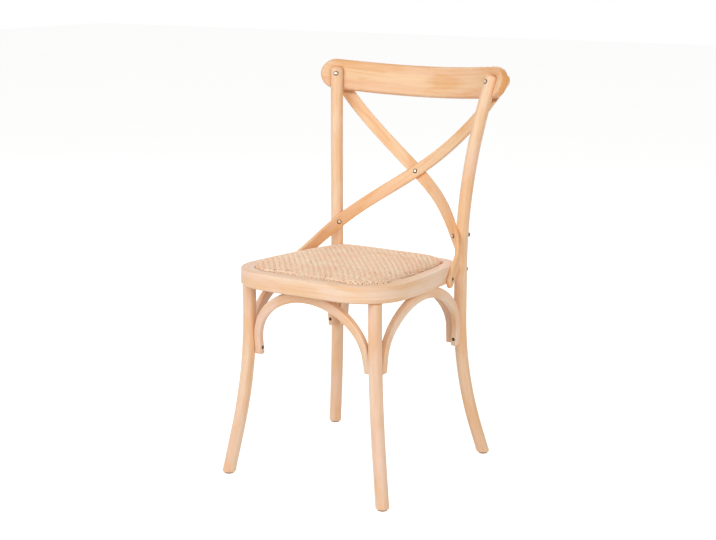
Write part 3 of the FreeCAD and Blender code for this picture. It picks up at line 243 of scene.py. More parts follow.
def slat_path(stations):
    """Middle line of a crossed slat through its stations."""
    points = [np.array(p) + [0, DATUM_Y, 0] for p in stations]
    tangents = [points[1] - points[0]]
    for before, after in zip(points, points[2:]):
        tangents.append(after - before)
    tangents.append(points[-1] - points[-2])
    return hermite(points, [t / np.linalg.norm(t) for t in tangents])


# Grain: every wooden piece carries, on each face corner, how far it lies along and across its bend
GRAIN_SHIFT = np.array([1.7, 0.31, 0.53])
UPRIGHT = 0.8


def transported_frames(path, closed):
    """Way along the path and two directions across it at every point, without twist."""
    after = np.roll(path, -1, axis=0)
    before = np.roll(path, 1, axis=0)
    if not closed:
        after[-1] = 2 * path[-1] - path[-2]
        before[0] = 2 * path[0] - path[1]
    along = after - before
    along /= np.linalg.norm(along, axis=1)[:, None]
    current = np.array([0, 0, 1.0]) if abs(along[0][2]) < UPRIGHT else np.array([0, -1.0, 0])
    across = []
    for direction in along:
        current = current - direction * current.dot(direction)
        current = current / np.linalg.norm(current)
        across.append(current)
    across = np.array(across)
    return along, across, np.cross(along, across)


def grain_coordinates(points, path, closed):
    """For each point: distance along the path, two distances across it, and the way along."""
    along, across, side = transported_frames(path, closed)
    ends = np.roll(path, -1, axis=0) if closed else path[1:]
    starts = path if closed else path[:-1]
    run = ends - starts
    length = np.linalg.norm(run, axis=1)
    travelled = np.concatenate([[0], np.cumsum(length)])[:len(starts)]
    best = np.full(len(points), np.inf)
    found = np.zeros((len(points), 3))
    ways = np.zeros((len(points), 3))
    for i in range(len(starts)):
        t = (points - starts[i]) @ run[i] / length[i] ** 2
        low = -np.inf if not closed and i == 0 else 0.0
        high = np.inf if not closed and i == len(starts) - 1 else 1.0
        t = np.clip(t, low, high)
        offset = points - (starts[i] + t[:, None] * run[i])
        distance = (offset ** 2).sum(axis=1)
        closer = distance < best
        j = (i + 1) % len(path)
        mix = np.clip(t, 0, 1)[:, None]
        way, one, two = (line[i] * (1 - mix) + line[j] * mix for line in (along, across, side))
        best[closer] = distance[closer]
        found[closer, 0] = travelled[i] + (t * length[i])[closer]
        found[closer, 1] = (offset * one).sum(axis=1)[closer]
        found[closer, 2] = (offset * two).sum(axis=1)[closer]
        ways[closer] = way[closer]
    return found, ways, length.sum()


def read_all(items, name, width=1, kind=np.int64):
    """One property of all points, corners or faces of a mesh."""
    values = np.zeros(len(items) * width, kind)
    items.foreach_get(name, values)
    return values


def mesh_points(mesh):
    return read_all(mesh.vertices, "co", 3, float).reshape(-1, 3)


def write_corner_vectors(mesh, name, values):
    layer = mesh.attributes.new(name, "FLOAT_VECTOR", "CORNER")
    layer.data.foreach_set("vector", np.ascontiguousarray(values, np.float32).ravel())


def welded(mesh):
    """The mesh ready for work, with the corners of its facets joined."""
    work = bmesh.new()
    work.from_mesh(mesh)
    bmesh.ops.remove_doubles(work, verts=work.verts, dist=WELD)
    return work


def stored(work, mesh):
    work.to_mesh(mesh)
    work.free()
    return mesh


def put_in_scene(name, data):
    piece = bpy.data.objects.new(name, data)
    bpy.context.scene.collection.objects.link(piece)
    return piece


def add_piece(name, mesh, material, replaced=()):
    piece = put_in_scene(name, mesh)
    mesh.materials.clear()
    mesh.materials.append(material)
    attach(piece, "root")
    if replaced:
        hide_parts(*replaced)
    return piece


def shade(mesh):
    """Smooth shading with creases only where two faces meet at a clear angle."""
    work = welded(mesh)
    bmesh.ops.dissolve_degenerate(work, dist=WELD, edges=work.edges)
    for face in work.faces:
        face.smooth = True
    for edge in work.edges:
        if len(edge.link_faces) == 2:
            edge.smooth = edge.calc_face_angle(0) < SHARP_ANGLE
    stored(work, mesh)


def welded_copy(node):
    """A mesh of its own with the shape of a CAD node."""
    return stored(welded(nodes[node].data), bpy.data.meshes.new(f"{node}_grained"))


def dress_wood(node, path, material, seed, closed=False, mesh=None):
    """The piece, by default the CAD node's shape, with its grain bent along the path."""
    mesh = mesh or welded_copy(node)
    shade(mesh)
    found, ways, total = grain_coordinates(mesh_points(mesh), path, closed)
    index = read_all(mesh.loops, "vertex_index")
    values = found[index]
    if closed:
        first = read_all(mesh.polygons, "loop_start")
        count = read_all(mesh.polygons, "loop_total")
        reference = np.repeat(values[first, 0], count)
        values[:, 0] += total * np.round((reference - values[:, 0]) / total)
    write_corner_vectors(mesh, "grain", values + seed * GRAIN_SHIFT)
    write_corner_vectors(mesh, "fibre", ways[index])
    add_piece(f"{node}_grained", mesh, material, [node])


# Small modelling tools
TURNS = 40
QUARTER = [math.radians(angle) for angle in range(0, 91, 15)]


def revolve(profile):
    """Closed mesh from a profile that starts and ends on the axis."""
    work = bmesh.new()
    rows = []
    for radius, z in profile:
        if radius == 0:
            rows.append([work.verts.new((0, 0, z))])
            continue
        ring = []
        for k in range(TURNS):
            angle = 2 * math.pi * k / TURNS
            ring.append(work.verts.new((radius * math.cos(angle), radius * math.sin(angle), z)))
        rows.append(ring)
    for one, two in zip(rows, rows[1:]):
        for k in range(TURNS):
            j = (k + 1) % TURNS
            corners = [one[k % len(one)], one[j % len(one)], two[j % len(two)], two[k % len(two)]]
            work.faces.new(list(dict.fromkeys(corners)))
    return work


def loft(rows):
    """Mesh through rows of points, with flat ends."""
    work = bmesh.new()
    rows = [[work.verts.new(point) for point in row] for row in rows]
    for one, two in zip(rows, rows[1:]):
        for k in range(len(one)):
            j = (k + 1) % len(one)
            work.faces.new((one[k], one[j], two[j], two[k]))
    work.faces.new(rows[0])
    work.faces.new(rows[-1][::-1])
    return work


def as_object(work, name):
    bmesh.ops.recalc_face_normals(work, faces=work.faces)
    return put_in_scene(name, stored(work, bpy.data.meshes.new(name)))


def carve(piece, tools, operation="DIFFERENCE"):
    """The piece cut by closed tools, as a mesh of its own; the piece and the tools go."""
    for i, tool in enumerate(tools):
        change = piece.modifiers.new(f"cut_{i}", "BOOLEAN")
        change.operation = operation
        change.solver = "EXACT"
        change.object = tool
    bpy.context.view_layer.update()
    graph = bpy.context.evaluated_depsgraph_get()
    mesh = bpy.data.meshes.new_from_object(piece.evaluated_get(graph))
    for used in (piece, *tools):
        bpy.data.objects.remove(used)
    return mesh


# Materials

class NodeTree:
    """The nodes of a material or of the world, under construction."""

    def __init__(self, owner):
        owner.use_nodes = True
        self.tree = owner.node_tree
        self.tree.nodes.clear()

    def add(self, kind, inputs=None, **settings):
        """A node with its inputs, each a value or the output of another node."""
        node = self.tree.nodes.new(kind)
        for key, value in settings.items():
            setattr(node, key, value)
        for key, value in (inputs or {}).items():
            self.put(node.inputs[key], value)
        return node

    def put(self, socket, value):
        if isinstance(value, bpy.types.NodeSocket):
            self.tree.links.new(value, socket)
        else:
            socket.default_value = value

    def attribute(self, name):
        return self.add("ShaderNodeAttribute", attribute_name=name).outputs["Vector"]

    def scaled(self, vector, scale):
        return self.add("ShaderNodeVectorMath", {0: vector, 1: scale}, operation="MULTIPLY").outputs[0]

    def noise(self, vector, scale, detail=2.0, distortion=0.0, rough=0.5):
        """Noise that changes at one rate in all directions, or at one rate for each."""
        scale = (scale,) * 3 if isinstance(scale, float) else scale
        return self.add("ShaderNodeTexNoise", {
            "Vector": self.scaled(vector, scale), "Scale": 1.0, "Detail": detail,
            "Roughness": rough, "Distortion": distortion,
        }).outputs[0]

    def math(self, operation, one, two=0.0):
        return self.add("ShaderNodeMath", {0: one, 1: two}, operation=operation).outputs[0]

    def span(self, value, low, high, to_low=0.0, to_high=1.0):
        """The value's course from low to high, smoothed and moved to another span."""
        inputs = {"Value": value, "From Min": low, "From Max": high, "To Min": to_low, "To Max": to_high}
        return self.add("ShaderNodeMapRange", inputs, interpolation_type="SMOOTHSTEP").outputs[0]

    def mix(self, factor, one, two):
        return self.add("ShaderNodeMix", {0: factor, 6: one, 7: two}, data_type="RGBA").outputs[2]

    def shown_to_eye(self):
        """1 for the camera's rays and those of shiny or clear surfaces, 0 for all that light."""
        rays = self.add("ShaderNodeLightPath").outputs
        shiny = self.math("MAXIMUM", rays["Is Glossy Ray"], rays["Is Transmission Ray"])
        return self.math("MAXIMUM", shiny, rays["Is Camera Ray"])


class Shader(NodeTree):
    """A node material under construction, with its Principled shader."""

    def __init__(self, name):
        self.material = bpy.data.materials.new(name)
        super().__init__(self.material)
        self.surface = self.add("ShaderNodeBsdfPrincipled")
        self.add("ShaderNodeOutputMaterial", {0: self.surface.outputs[0]})

    def place(self):
        return self.add("ShaderNodeTexCoord").outputs["Object"]

    def set(self, name, value):
        self.put(self.surface.inputs[name], value)

    def bump(self, height, distance, strength):
        inputs = {"Strength": strength, "Distance": distance, "Height": height}
        self.set("Normal", self.add("ShaderNodeBump", inputs).outputs[0])


def srgb(red, green, blue):
    """Linear colour of a display colour in 0 to 255."""
    parts = []
    for part in (red, green, blue):
        part /= 255
        parts.append(part / 12.92 if part <= 0.04045 else ((part + 0.055) / 1.055) ** 2.4)
    return (*parts, 1.0)


def toned(colour, shares):
    return tuple(c * share for c, share in zip(colour, shares)) + (1.0,)


# Wood: how fast each layer of the pattern changes along and across the grain
PATCH_SCALE = (9.0, 34.0, 34.0)
FLUSH_SCALE = (4.0, 26.0, 26.0)
STREAK_SCALE = (5.0, 230.0, 230.0)
FIBRE_SCALE = (30.0, 1300.0, 1300.0)
PORE_SCALE = (120.0, 2100.0, 2100.0)
BAND_SCALE = (0.35, 1.0, 0.8)
END_SCALE = (20.0, 520.0, 900.0)

# Tones of pores and of end grain, as shares of the honey colour
PORE_TONE = (0.55, 0.55, 0.55)
END_DARK = (0.98, 0.86, 0.72)
END_LIGHT = (1.04, 0.98, 0.90)


def wood_material(name, light, honey, blush):
    """Pale satin wood: soft honey and pink patches, fine streaks, short pores, end grain on cut faces."""
    shader = Shader(name)
    grain = shader.attribute("grain")
    patch = shader.noise(grain, PATCH_SCALE, 2.0, 0.4)
    flush = shader.noise(grain, FLUSH_SCALE, 1.0, 0.3)
    streak = shader.noise(grain, STREAK_SCALE, 4.0, 0.2, 0.6)
    fibre = shader.noise(grain, FIBRE_SCALE, 3.0, 0.0, 0.65)
    pore = shader.noise(grain, PORE_SCALE, 1.0)
    bands = shader.add("ShaderNodeTexWave", {
        "Vector": shader.scaled(grain, BAND_SCALE), "Scale": 30.0, "Distortion": 3.0, "Detail": 2.0,
        "Detail Scale": 1.2,
    }, wave_type="BANDS", bands_direction="Y", wave_profile="SAW")
    ring = shader.span(bands.outputs[1], 0.3, 1.0, 0.0, 0.18)
    tone = shader.math("ADD", ring, shader.span(patch, 0.43, 0.68, 0.0, 0.64))
    tone = shader.math("ADD", tone, shader.span(streak, 0.42, 0.70, 0.0, 0.50))
    tone = shader.math("ADD", tone, shader.span(fibre, 0.45, 0.72, 0.0, 0.20))
    colour = shader.mix(shader.span(flush, 0.42, 0.64), light, blush)
    colour = shader.mix(tone, colour, honey)
    pores = shader.span(pore, 0.66, 0.75, 0.0, 0.32)
    colour = shader.mix(pores, colour, toned(honey, PORE_TONE))
    ways = {0: shader.add("ShaderNodeNewGeometry").outputs["Normal"], 1: shader.attribute("fibre")}
    facing = shader.add("ShaderNodeVectorMath", ways, operation="DOT_PRODUCT")
    cut = shader.span(shader.math("ABSOLUTE", facing.outputs["Value"]), 0.35, 0.9)
    rings = shader.noise(grain, END_SCALE, 3.0, 0.4)
    colour = shader.mix(cut, colour, shader.mix(rings, toned(honey, END_DARK), toned(honey, END_LIGHT)))
    shader.set("Base Color", colour)
    shader.set("Roughness", shader.span(streak, 0.3, 0.7, 0.42, 0.58))
    shader.set("Specular IOR Level", 0.35)
    shader.set("Coat Weight", 0.06)
    shader.set("Coat Roughness", 0.28)
    height = shader.math("SUBTRACT", shader.math("MULTIPLY", fibre, 0.5), pores)
    shader.bump(height, 0.00022, 0.5)
    return shader.material


FRAME_WOOD = wood_material("frame_wood", srgb(247, 220, 195), srgb(241, 194, 151), srgb(245, 209, 187))
POST_WOOD = wood_material("post_wood", srgb(249, 219, 188), srgb(243, 195, 147), srgb(247, 209, 183))
RING_WOOD = wood_material("ring_wood", srgb(248, 219, 195), srgb(241, 197, 154), srgb(246, 212, 191))
RAIL_WOOD = wood_material("rail_wood", srgb(244, 208, 168), srgb(234, 178, 124), srgb(242, 198, 164))
SLAT_WOOD = wood_material("slat_wood", srgb(249, 213, 173), srgb(240, 184, 128), srgb(247, 202, 165))


def rattan_material():
    """Split cane: satin skin with fine lengthwise lines, darker joints and a tone for each strand."""
    shader = Shader("rattan_cane")
    grain = shader.attribute("grain")
    strand = shader.noise(grain, (2.0, 0.0, 40.0), 1.0)
    patch = shader.noise(shader.place(), 22.0)
    lines = shader.noise(grain, (25.0, 2600.0, 40.0), 2.0)
    joint = shader.noise(grain, (34.0, 0.0, 67.0), 0.0)
    colour = shader.mix(shader.span(strand, 0.35, 0.65), srgb(255, 236, 210), srgb(252, 213, 180))
    colour = shader.mix(shader.span(patch, 0.40, 0.66, 0.0, 0.5), colour, srgb(253, 207, 176))
    colour = shader.mix(shader.span(lines, 0.4, 0.75, 0.0, 0.35), colour, srgb(234, 180, 138))
    colour = shader.mix(shader.span(joint, 0.70, 0.78, 0.0, 0.5), colour, srgb(190, 134, 96))
    shader.set("Base Color", colour)
    shader.set("Roughness", shader.span(lines, 0.3, 0.7, 0.42, 0.6))
    shader.bump(lines, 0.00012, 0.4)
    return shader.material


def gap_shade_material():
    """Dull dark pad behind the weave, seen only through its gaps: its colour is painted shade for the
    gaps.
    """
    shader = Shader("rattan_shade_backing")
    speck = shader.noise(shader.place(), 900.0, 3.0)
    colour = shader.mix(speck, srgb(128, 84, 56), srgb(166, 116, 80))
    shader.set("Base Color", colour)
    shader.set("Roughness", shader.span(speck, 0.3, 0.7, 0.75, 0.95))
    shader.bump(speck, 0.0003, 0.5)
    return shader.material


def board_material():
    """Raw plywood of the base panel, with streaks and fibres along X."""
    shader = Shader("base_board")
    streak = shader.noise(shader.place(), (6.0, 120.0, 120.0), 4.0, 0.5)
    fibre = shader.noise(shader.place(), (60.0, 1400.0, 1400.0))
    colour = shader.mix(shader.span(streak, 0.35, 0.7), srgb(222, 190, 152), srgb(196, 154, 112))
    colour = shader.mix(shader.span(fibre, 0.5, 0.75, 0.0, 0.4), colour, srgb(165, 122, 84))
    shader.set("Base Color", colour)
    shader.set("Roughness", shader.span(fibre, 0.3, 0.7, 0.6, 0.8))
    shader.bump(fibre, 0.0002, 0.5)
    return shader.material


def metal_material(name, dark, light):
    """Steel with fine scratches and a patchy tone."""
    shader = Shader(name)
    patch = shader.noise(shader.place(), 260.0, 3.0)
    scratch = shader.noise(shader.place(), (5200.0, 900.0, 2600.0))
    colour = shader.mix(shader.span(patch, 0.4, 0.7), dark, light)
    shader.set("Base Color", colour)
    shader.set("Metallic", 1.0)
    shader.set("Roughness", shader.span(scratch, 0.35, 0.7, 0.28, 0.48))
    shader.bump(scratch, 0.00004, 0.5)
    return shader.material


def glide_material():
    """Matt dark plastic with a fine moulded texture."""
    shader = Shader("glide_plastic")
    speck = shader.noise(shader.place(), 2400.0)
    dust = shader.noise(shader.place(), 120.0, 3.0)
    colour = shader.mix(shader.span(dust, 0.45, 0.7), srgb(92, 84, 78), srgb(132, 121, 110))
    shader.set("Base Color", colour)
    shader.set("Roughness", shader.span(speck, 0.3, 0.7, 0.55, 0.75))
    shader.bump(speck, 0.00006, 0.6)
    return shader.material


RATTAN = rattan_material()
GAP_SHADE = gap_shade_material()
BOARD = board_material()
METAL = metal_material("bronzed_steel", srgb(84, 62, 46), srgb(128, 100, 78))
# Pale metal for the painted highlight in the middle of the larger heads
HIGHLIGHT_METAL = metal_material("painted_highlight_steel", srgb(214, 196, 178), srgb(246, 238, 228))
GLIDE = glide_material()


# Crest rail, bent from a board with round ends, and the scooped recesses that hold the posts
CREST_CENTRE = np.array([0.0, 0.26515 + DATUM_Y, 0.83848])
CREST_LEAN = math.radians(15.75)
CREST_RADIUS = 0.480
CREST_HALF_LENGTH = 0.497 / 2
CREST_HALF_DEPTH = 0.0705 / 2
CREST_THICKNESS = 0.021
CREST_ROUND = 0.0065
CREST_END_DROP = 0.0030
CREST_DROP_CURVE = 4
CREST_END_TURNS = [math.radians(angle) for angle in range(6, 91, 6)]
CREST_MIDDLE_COLUMNS = 61
CREST_PATH = (-0.2688, 0.2688, 60)
POST_CREST_HEIGHT = 0.8508
POST_TOP_RISE = 0.0125
POST_TOP_ROUND = 0.007
POST_RADIUS = 0.0142
SCOOP_FLOOR = 0.00915
SCOOP_FRONT = -SCOOP_FLOOR / 4
SCOOP_FIT = 0.0004
SCOOP_DISH = 0.0024
SCOOP_FLARE = 0.0065
SCOOP_TOP_FLARE = 0.003
SCOOP_SPREAD = 0.010
SCOOP_CORNER = 0.0075
SCOOP_CURVE = 1.2
SCOOP_STEPS = 12
SCOOP_LENGTH = 0.09
LIMIT_DEPTH = 1.4
LIMIT_WIDTH = 1.0
LIMIT_SLOPE = 0.004


def crest_turned(local):
    """Direction or offset in the crest rail's upright plan, leaned back."""
    x, y, z = local
    cosine, sine = math.cos(CREST_LEAN), math.sin(CREST_LEAN)
    return np.array([x, y * cosine + z * sine, z * cosine - y * sine])


def crest_place(along, depth, rise):
    angle = along / CREST_RADIUS
    radius = CREST_RADIUS + depth
    local = (radius * math.sin(angle), radius * math.cos(angle) - CREST_RADIUS, rise)
    return CREST_CENTRE + crest_turned(local)


def crest_path():
    return np.array([crest_place(x, CREST_THICKNESS / 2, 0.0) for x in np.linspace(*CREST_PATH)])


def crest_profile():
    """Inset from the outline and depth of each layer of the board, from the front to the back."""
    front = [(CREST_ROUND * (1 - math.sin(q)), CREST_ROUND * (1 - math.cos(q))) for q in QUARTER]
    back = [(inset, CREST_THICKNESS - depth) for inset, depth in front[::-1]]
    return front + back


def crest_columns(inset):
    """Distance along the rail and half depth of its outline, moved inwards by the inset."""
    straight = CREST_HALF_LENGTH - CREST_HALF_DEPTH
    radius = CREST_HALF_DEPTH - inset
    right = [(straight + radius * math.sin(t), radius * max(math.cos(t), 0.0)) for t in CREST_END_TURNS]
    middle = [(along, radius) for along in np.linspace(-straight, straight, CREST_MIDDLE_COLUMNS)]
    return [(-along, half) for along, half in right[::-1]] + middle + right


def crest_board():
    work = bmesh.new()
    layers = []
    for inset, depth in crest_profile():
        layer = []
        for along, half in crest_columns(inset):
            drop = CREST_END_DROP * (along / CREST_HALF_LENGTH) ** CREST_DROP_CURVE
            top = work.verts.new(crest_place(along, depth, max(half - drop, 0.0)))
            bottom = work.verts.new(crest_place(along, depth, -half))
            layer.append((top, bottom))
        layers.append(layer)
    for one, two in zip(layers, layers[1:]):
        for k in range(len(one) - 1):
            work.faces.new((one[k][0], one[k + 1][0], two[k + 1][0], two[k][0]))
            work.faces.new((one[k][1], two[k][1], two[k + 1][1], one[k + 1][1]))
    for layer in (layers[0], layers[-1]):
        for (top, bottom), (next_top, next_bottom) in zip(layer, layer[1:]):
            work.faces.new((top, bottom, next_bottom, next_top))
    bmesh.ops.remove_doubles(work, verts=work.verts, dist=WELD)
    bmesh.ops.dissolve_degenerate(work, edges=work.edges, dist=WELD)
    return work


def post_frame(side):
    """Frame on the axis of a post at the crest rail: X across, Y into the rail, Z up the post."""
    path = rear_post_path(side)
    above = int(np.argmax(path[:, 2] > POST_CREST_HEIGHT))
    step = path[above] - path[above - 1]
    share = (POST_CREST_HEIGHT - path[above - 1][2]) / step[2]
    place = path[above - 1] + step * share
    along = step / np.linalg.norm(step)
    angle = math.asin(place[0] / CREST_RADIUS)
    back = crest_turned((math.sin(angle), math.cos(angle), 0.0))
    back = back - along * back.dot(along)
    back /= np.linalg.norm(back)
    axes = Matrix((np.cross(back, along), back, along)).transposed().to_4x4()
    return Matrix.Translation(place) @ axes


def arched_outline(half, top, corner, length, spread):
    """Strip with a round top that widens downwards, from its lower left corner to its lower right."""
    corner = min(corner, half)
    right = [(half + spread, -length)]
    for q in QUARTER:
        right.append((half - corner + corner * math.cos(q), top - corner + corner * math.sin(q)))
    return [(-x, z) for x, z in right] + right[::-1]


def scoop(side):
    """Closed tool for a recess that fits round the back of the post and is dished at the rail's face."""
    rows = []
    for depth in np.linspace(SCOOP_FRONT, SCOOP_FLOOR, SCOOP_STEPS):
        dish = max(0.0, 1 - depth / SCOOP_DISH) ** SCOOP_CURVE
        half = math.sqrt(POST_RADIUS ** 2 - max(depth, 0.0) ** 2) + SCOOP_FIT + SCOOP_FLARE * dish
        top = POST_TOP_RISE + SCOOP_FIT + SCOOP_TOP_FLARE * dish
        outline = arched_outline(half, top, SCOOP_CORNER, SCOOP_LENGTH, SCOOP_SPREAD * dish)
        rows.append([(x, depth, z) for x, z in outline])
    tool = as_object(loft(rows), "scoop_form")
    tool.data.transform(post_frame(side))
    return tool


def post_limit(side):
    """Tall tool whose round shoulder gives the post its top."""
    shoulder = POST_TOP_RISE - POST_TOP_ROUND
    profile = [
        (0, -LIMIT_DEPTH), (LIMIT_WIDTH, -LIMIT_DEPTH), (LIMIT_WIDTH, shoulder - LIMIT_SLOPE),
        (POST_RADIUS + SCOOP_FIT, shoulder),
    ]
    for q in QUARTER[1:]:
        radius = POST_RADIUS - POST_TOP_ROUND + POST_TOP_ROUND * math.cos(q)
        profile.append((radius, shoulder + POST_TOP_ROUND * math.sin(q)))
    tool = as_object(revolve(profile + [(0, POST_TOP_RISE)]), "post_limit_form")
    tool.data.transform(post_frame(side))
    return tool


# Crossed slats: where the cut under the crest rail lies, and how near a slat's end its last points are
SHOULDER_SPAN = (0.4, 1.0, 16)
SHOULDER_HEIGHTS = (-0.0055, 0.0035)
SHOULDER_DEPTHS = (-0.001, 0.0066)
SLAT_END_REACH = 0.0025


def shoulder_form(side):
    """Closed tool for the cut across a slat just where it comes out from behind the crest rail."""
    low, high = (rise - CREST_HALF_DEPTH for rise in SHOULDER_HEIGHTS)
    near, far = (CREST_THICKNESS + depth for depth in SHOULDER_DEPTHS)
    corners = ((near, low), (near, high), (far, high), (far, low))
    rows = []
    for share in np.linspace(*SHOULDER_SPAN):
        rows.append([crest_place(side * share * CREST_HALF_LENGTH, *corner) for corner in corners])
    return as_object(loft(rows), "shoulder_form")


def slat_mesh(node, path, side, extras):
    """The slat's own shape, longer at its top and lower ends by the extras, with its shoulder cut."""
    mesh = welded_copy(node)
    points = mesh_points(mesh)
    found, _, total = grain_coordinates(points, path, False)
    start, end = path[0] - path[1], path[-1] - path[-2]
    points[found[:, 0] < -SLAT_END_REACH] += start / np.linalg.norm(start) * extras[0]
    points[found[:, 0] > total + SLAT_END_REACH] += end / np.linalg.norm(end) * extras[1]
    mesh.vertices.foreach_set("co", points.ravel())
    return carve(put_in_scene(mesh.name, mesh), [shoulder_form(side)])


def crest_mesh():
    return carve(as_object(crest_board(), "crest_form"), [scoop(-1), scoop(1)])


def post_mesh(side, node):
    return carve(put_in_scene(f"{node}_form", welded_copy(node)), [post_limit(side)], "INTERSECT")


# Wooden pieces. Each arch has its way out, depth, middle, half span, rise, and lean in degrees.
ARCHES = {
    "front_arch": ((0, -1), 0.17587, 0.0, 0.1487, 0.1317, 9.4),
    "rear_arch": ((0, 1), 0.16088, 0.0, 0.1526, 0.1186, 1.0),
    "right_arch": ((1, 0), 0.16829, -0.00734, 0.1587, 0.1242, 3.6),
    "left_arch": ((-1, 0), 0.16829, 0.00734, 0.1587, 0.1242, 3.6),
}

# Each crossed slat: side of its top, extra length at its top and lower ends, stations from the top down
SLATS = {
    "cross_slat_front": (1, (0.012, 0.0), (
        (0.2222, 0.2388, 0.8407), (0.1952, 0.2423, 0.8083), (0.0, 0.2448, 0.6323),
        (-0.1541, 0.1538, 0.5130), (-0.1853, 0.1004, 0.4690), (-0.1948, 0.0369, 0.4386),
    )),
    "cross_slat_rear": (-1, (0.0, 0.008), (
        (-0.2175, 0.2410, 0.8401), (-0.1903, 0.2443, 0.8077), (0.0, 0.2532, 0.6297),
        (0.1582, 0.1506, 0.5130), (0.1813, 0.1215, 0.4658), (0.1878, 0.0849, 0.4316),
    )),
}

for side, node, seed in ((-1, "front_leg_left", 1), (1, "front_leg_right", 2)):
    dress_wood(node, front_leg_path(side), FRAME_WOOD, seed)
for side, node, seed in ((-1, "rear_post_left", 3), (1, "rear_post_right", 4)):
    dress_wood(node, rear_post_path(side), POST_WOOD, seed, mesh=post_mesh(side, node))
dress_wood("seat_ring", ring_path(), RING_WOOD, 5, closed=True)
for seed, (node, measures) in enumerate(ARCHES.items(), 6):
    dress_wood(node, arch_path(*measures), FRAME_WOOD, seed)
dress_wood("crest_rail", crest_path(), RAIL_WOOD, 10, mesh=crest_mesh())
for seed, (node, (side, extras, stations)) in enumerate(SLATS.items(), 11):
    path = slat_path(stations)
    dress_wood(node, path, SLAT_WOOD, seed, mesh=slat_mesh(node, path, side, extras))

for node, material in (("seat_base_panel", BOARD), ("foot_glides", GLIDE), ("slat_bolt_nuts", METAL)):
    nodes[node].data.materials.clear()
    nodes[node].data.materials.append(material)


# Woven seat: flat cane in a twill, two over and two under, on a crowned pad
PAD_RISE = 0.0200
PAD_EDGE = -0.0008
PAD_FULLNESS = 6
PAD_SHOULDER = 0.5
PAD_MIDDLE = np.array([0.0, (SEAT_BACK_REACH - SEAT_FRONT_REACH) / 2])
WEAVE_PITCHES = (0.00367, 0.0044)
CANE_WIDTHS = (0.0030, 0.0036)
CANE_THICKNESS = 0.0013
CANE_LIFT = 0.68
CANE_SECTION = np.array([
    (-0.5, -0.15), (-0.34, 0.36), (0.0, 0.5), (0.34, 0.36), (0.5, -0.15), (0.0, -0.4),
])
CANE_DEPTH = 1.2
CANE_WANDER = 0.00012
TUCK_LENGTH = 0.0035
TUCK_DROP = 0.0035
STEEPEST = 1.2
PROBE = 0.0004
WEAVE_INSET = RIM_WIDTH + 0.0008
REPEAT = 4
FLOAT = 2
EDGE_STOPS = (0.0, 0.25, 0.6)
SHORTEST_STRAND = 3
WEAVE_SEED = 7
STRAND_SEEDS = (0.137, 31.7)
PAD_OUTLINE = seat_outline(WEAVE_INSET)
PAD_RAYS = PAD_OUTLINE - PAD_MIDDLE
PAD_ANGLES = np.arctan2(PAD_RAYS[:, 1], PAD_RAYS[:, 0])
PAD_REACHES = np.linalg.norm(PAD_RAYS, axis=1)


def crown_height(x, y):
    """Height of the pad over the ring's top: full in the middle, round at its shoulders."""
    dx, dy = x - PAD_MIDDLE[0], y - PAD_MIDDLE[1]
    reach = np.interp(math.atan2(dy, dx), PAD_ANGLES, PAD_REACHES, period=2 * math.pi)
    share = min(math.hypot(dx, dy) / reach, 1.0)
    return PAD_EDGE + PAD_RISE * (1 - share ** PAD_FULLNESS) ** PAD_SHOULDER


def crossings(outline, axis, value):
    """Where the outline crosses a line on which one coordinate is constant."""
    other = 1 - axis
    found = []
    for start, end in zip(outline, np.roll(outline, -1, axis=0)):
        if (start[axis] - value) * (end[axis] - value) < 0:
            t = (value - start[axis]) / (end[axis] - start[axis])
            found.append(start[other] + t * (end[other] - start[other]))
    return sorted(found)


def strand_stops(found, low, pitch):
    """Places along a strand: its two ends, each crossing, and more where the pad's edge is steep."""
    first = math.ceil((found[0] - low) / pitch)
    last = math.floor((found[-1] - low) / pitch)
    stops = [(low + k * pitch, k) for k in range(first, last + 1)]
    for edge, way in ((found[0], 1), (found[-1], -1)):
        for share in EDGE_STOPS:
            stops.append((edge + way * share * pitch, None))
    return sorted(stops, key=lambda stop: stop[0])


def strand_lift(n, k, axis):
    """How far a strand lies over or under the middle of the weave where it crosses another."""
    if k is None:
        return 0.0
    over = (n + k) % REPEAT < FLOAT
    return CANE_THICKNESS * (CANE_LIFT if over == (axis == 0) else -CANE_LIFT)


def strand_level(x, y, axis, edge, lift):
    """Height of a strand over the ring, and how steeply it lies across its own way."""
    height = crown_height(x, y)
    beside = crown_height(x + PROBE, y) if axis == 0 else crown_height(x, y + PROBE)
    slope = max(-STEEPEST, min(STEEPEST, (beside - height) / PROBE))
    tuck = max(0.0, 1 - edge / TUCK_LENGTH) ** 2 * TUCK_DROP
    return height - CANE_THICKNESS * CANE_DEPTH + lift - tuck, slope


def strand_faces(base, stops, axis):
    """Faces round a strand from its first point on, with its two ends."""
    size = len(CANE_SECTION)
    faces = []
    for first in range(base, base + (stops - 1) * size, size):
        for k in range(size):
            a, b = first + k, first + (k + 1) % size
            faces.append((a, b, b + size, a + size) if axis == 0 else (b, a, a + size, b + size))
    start = list(range(base, base + size))
    end = [k + (stops - 1) * size for k in start]
    return faces + ([start[::-1], end] if axis == 0 else [start, end[::-1]])


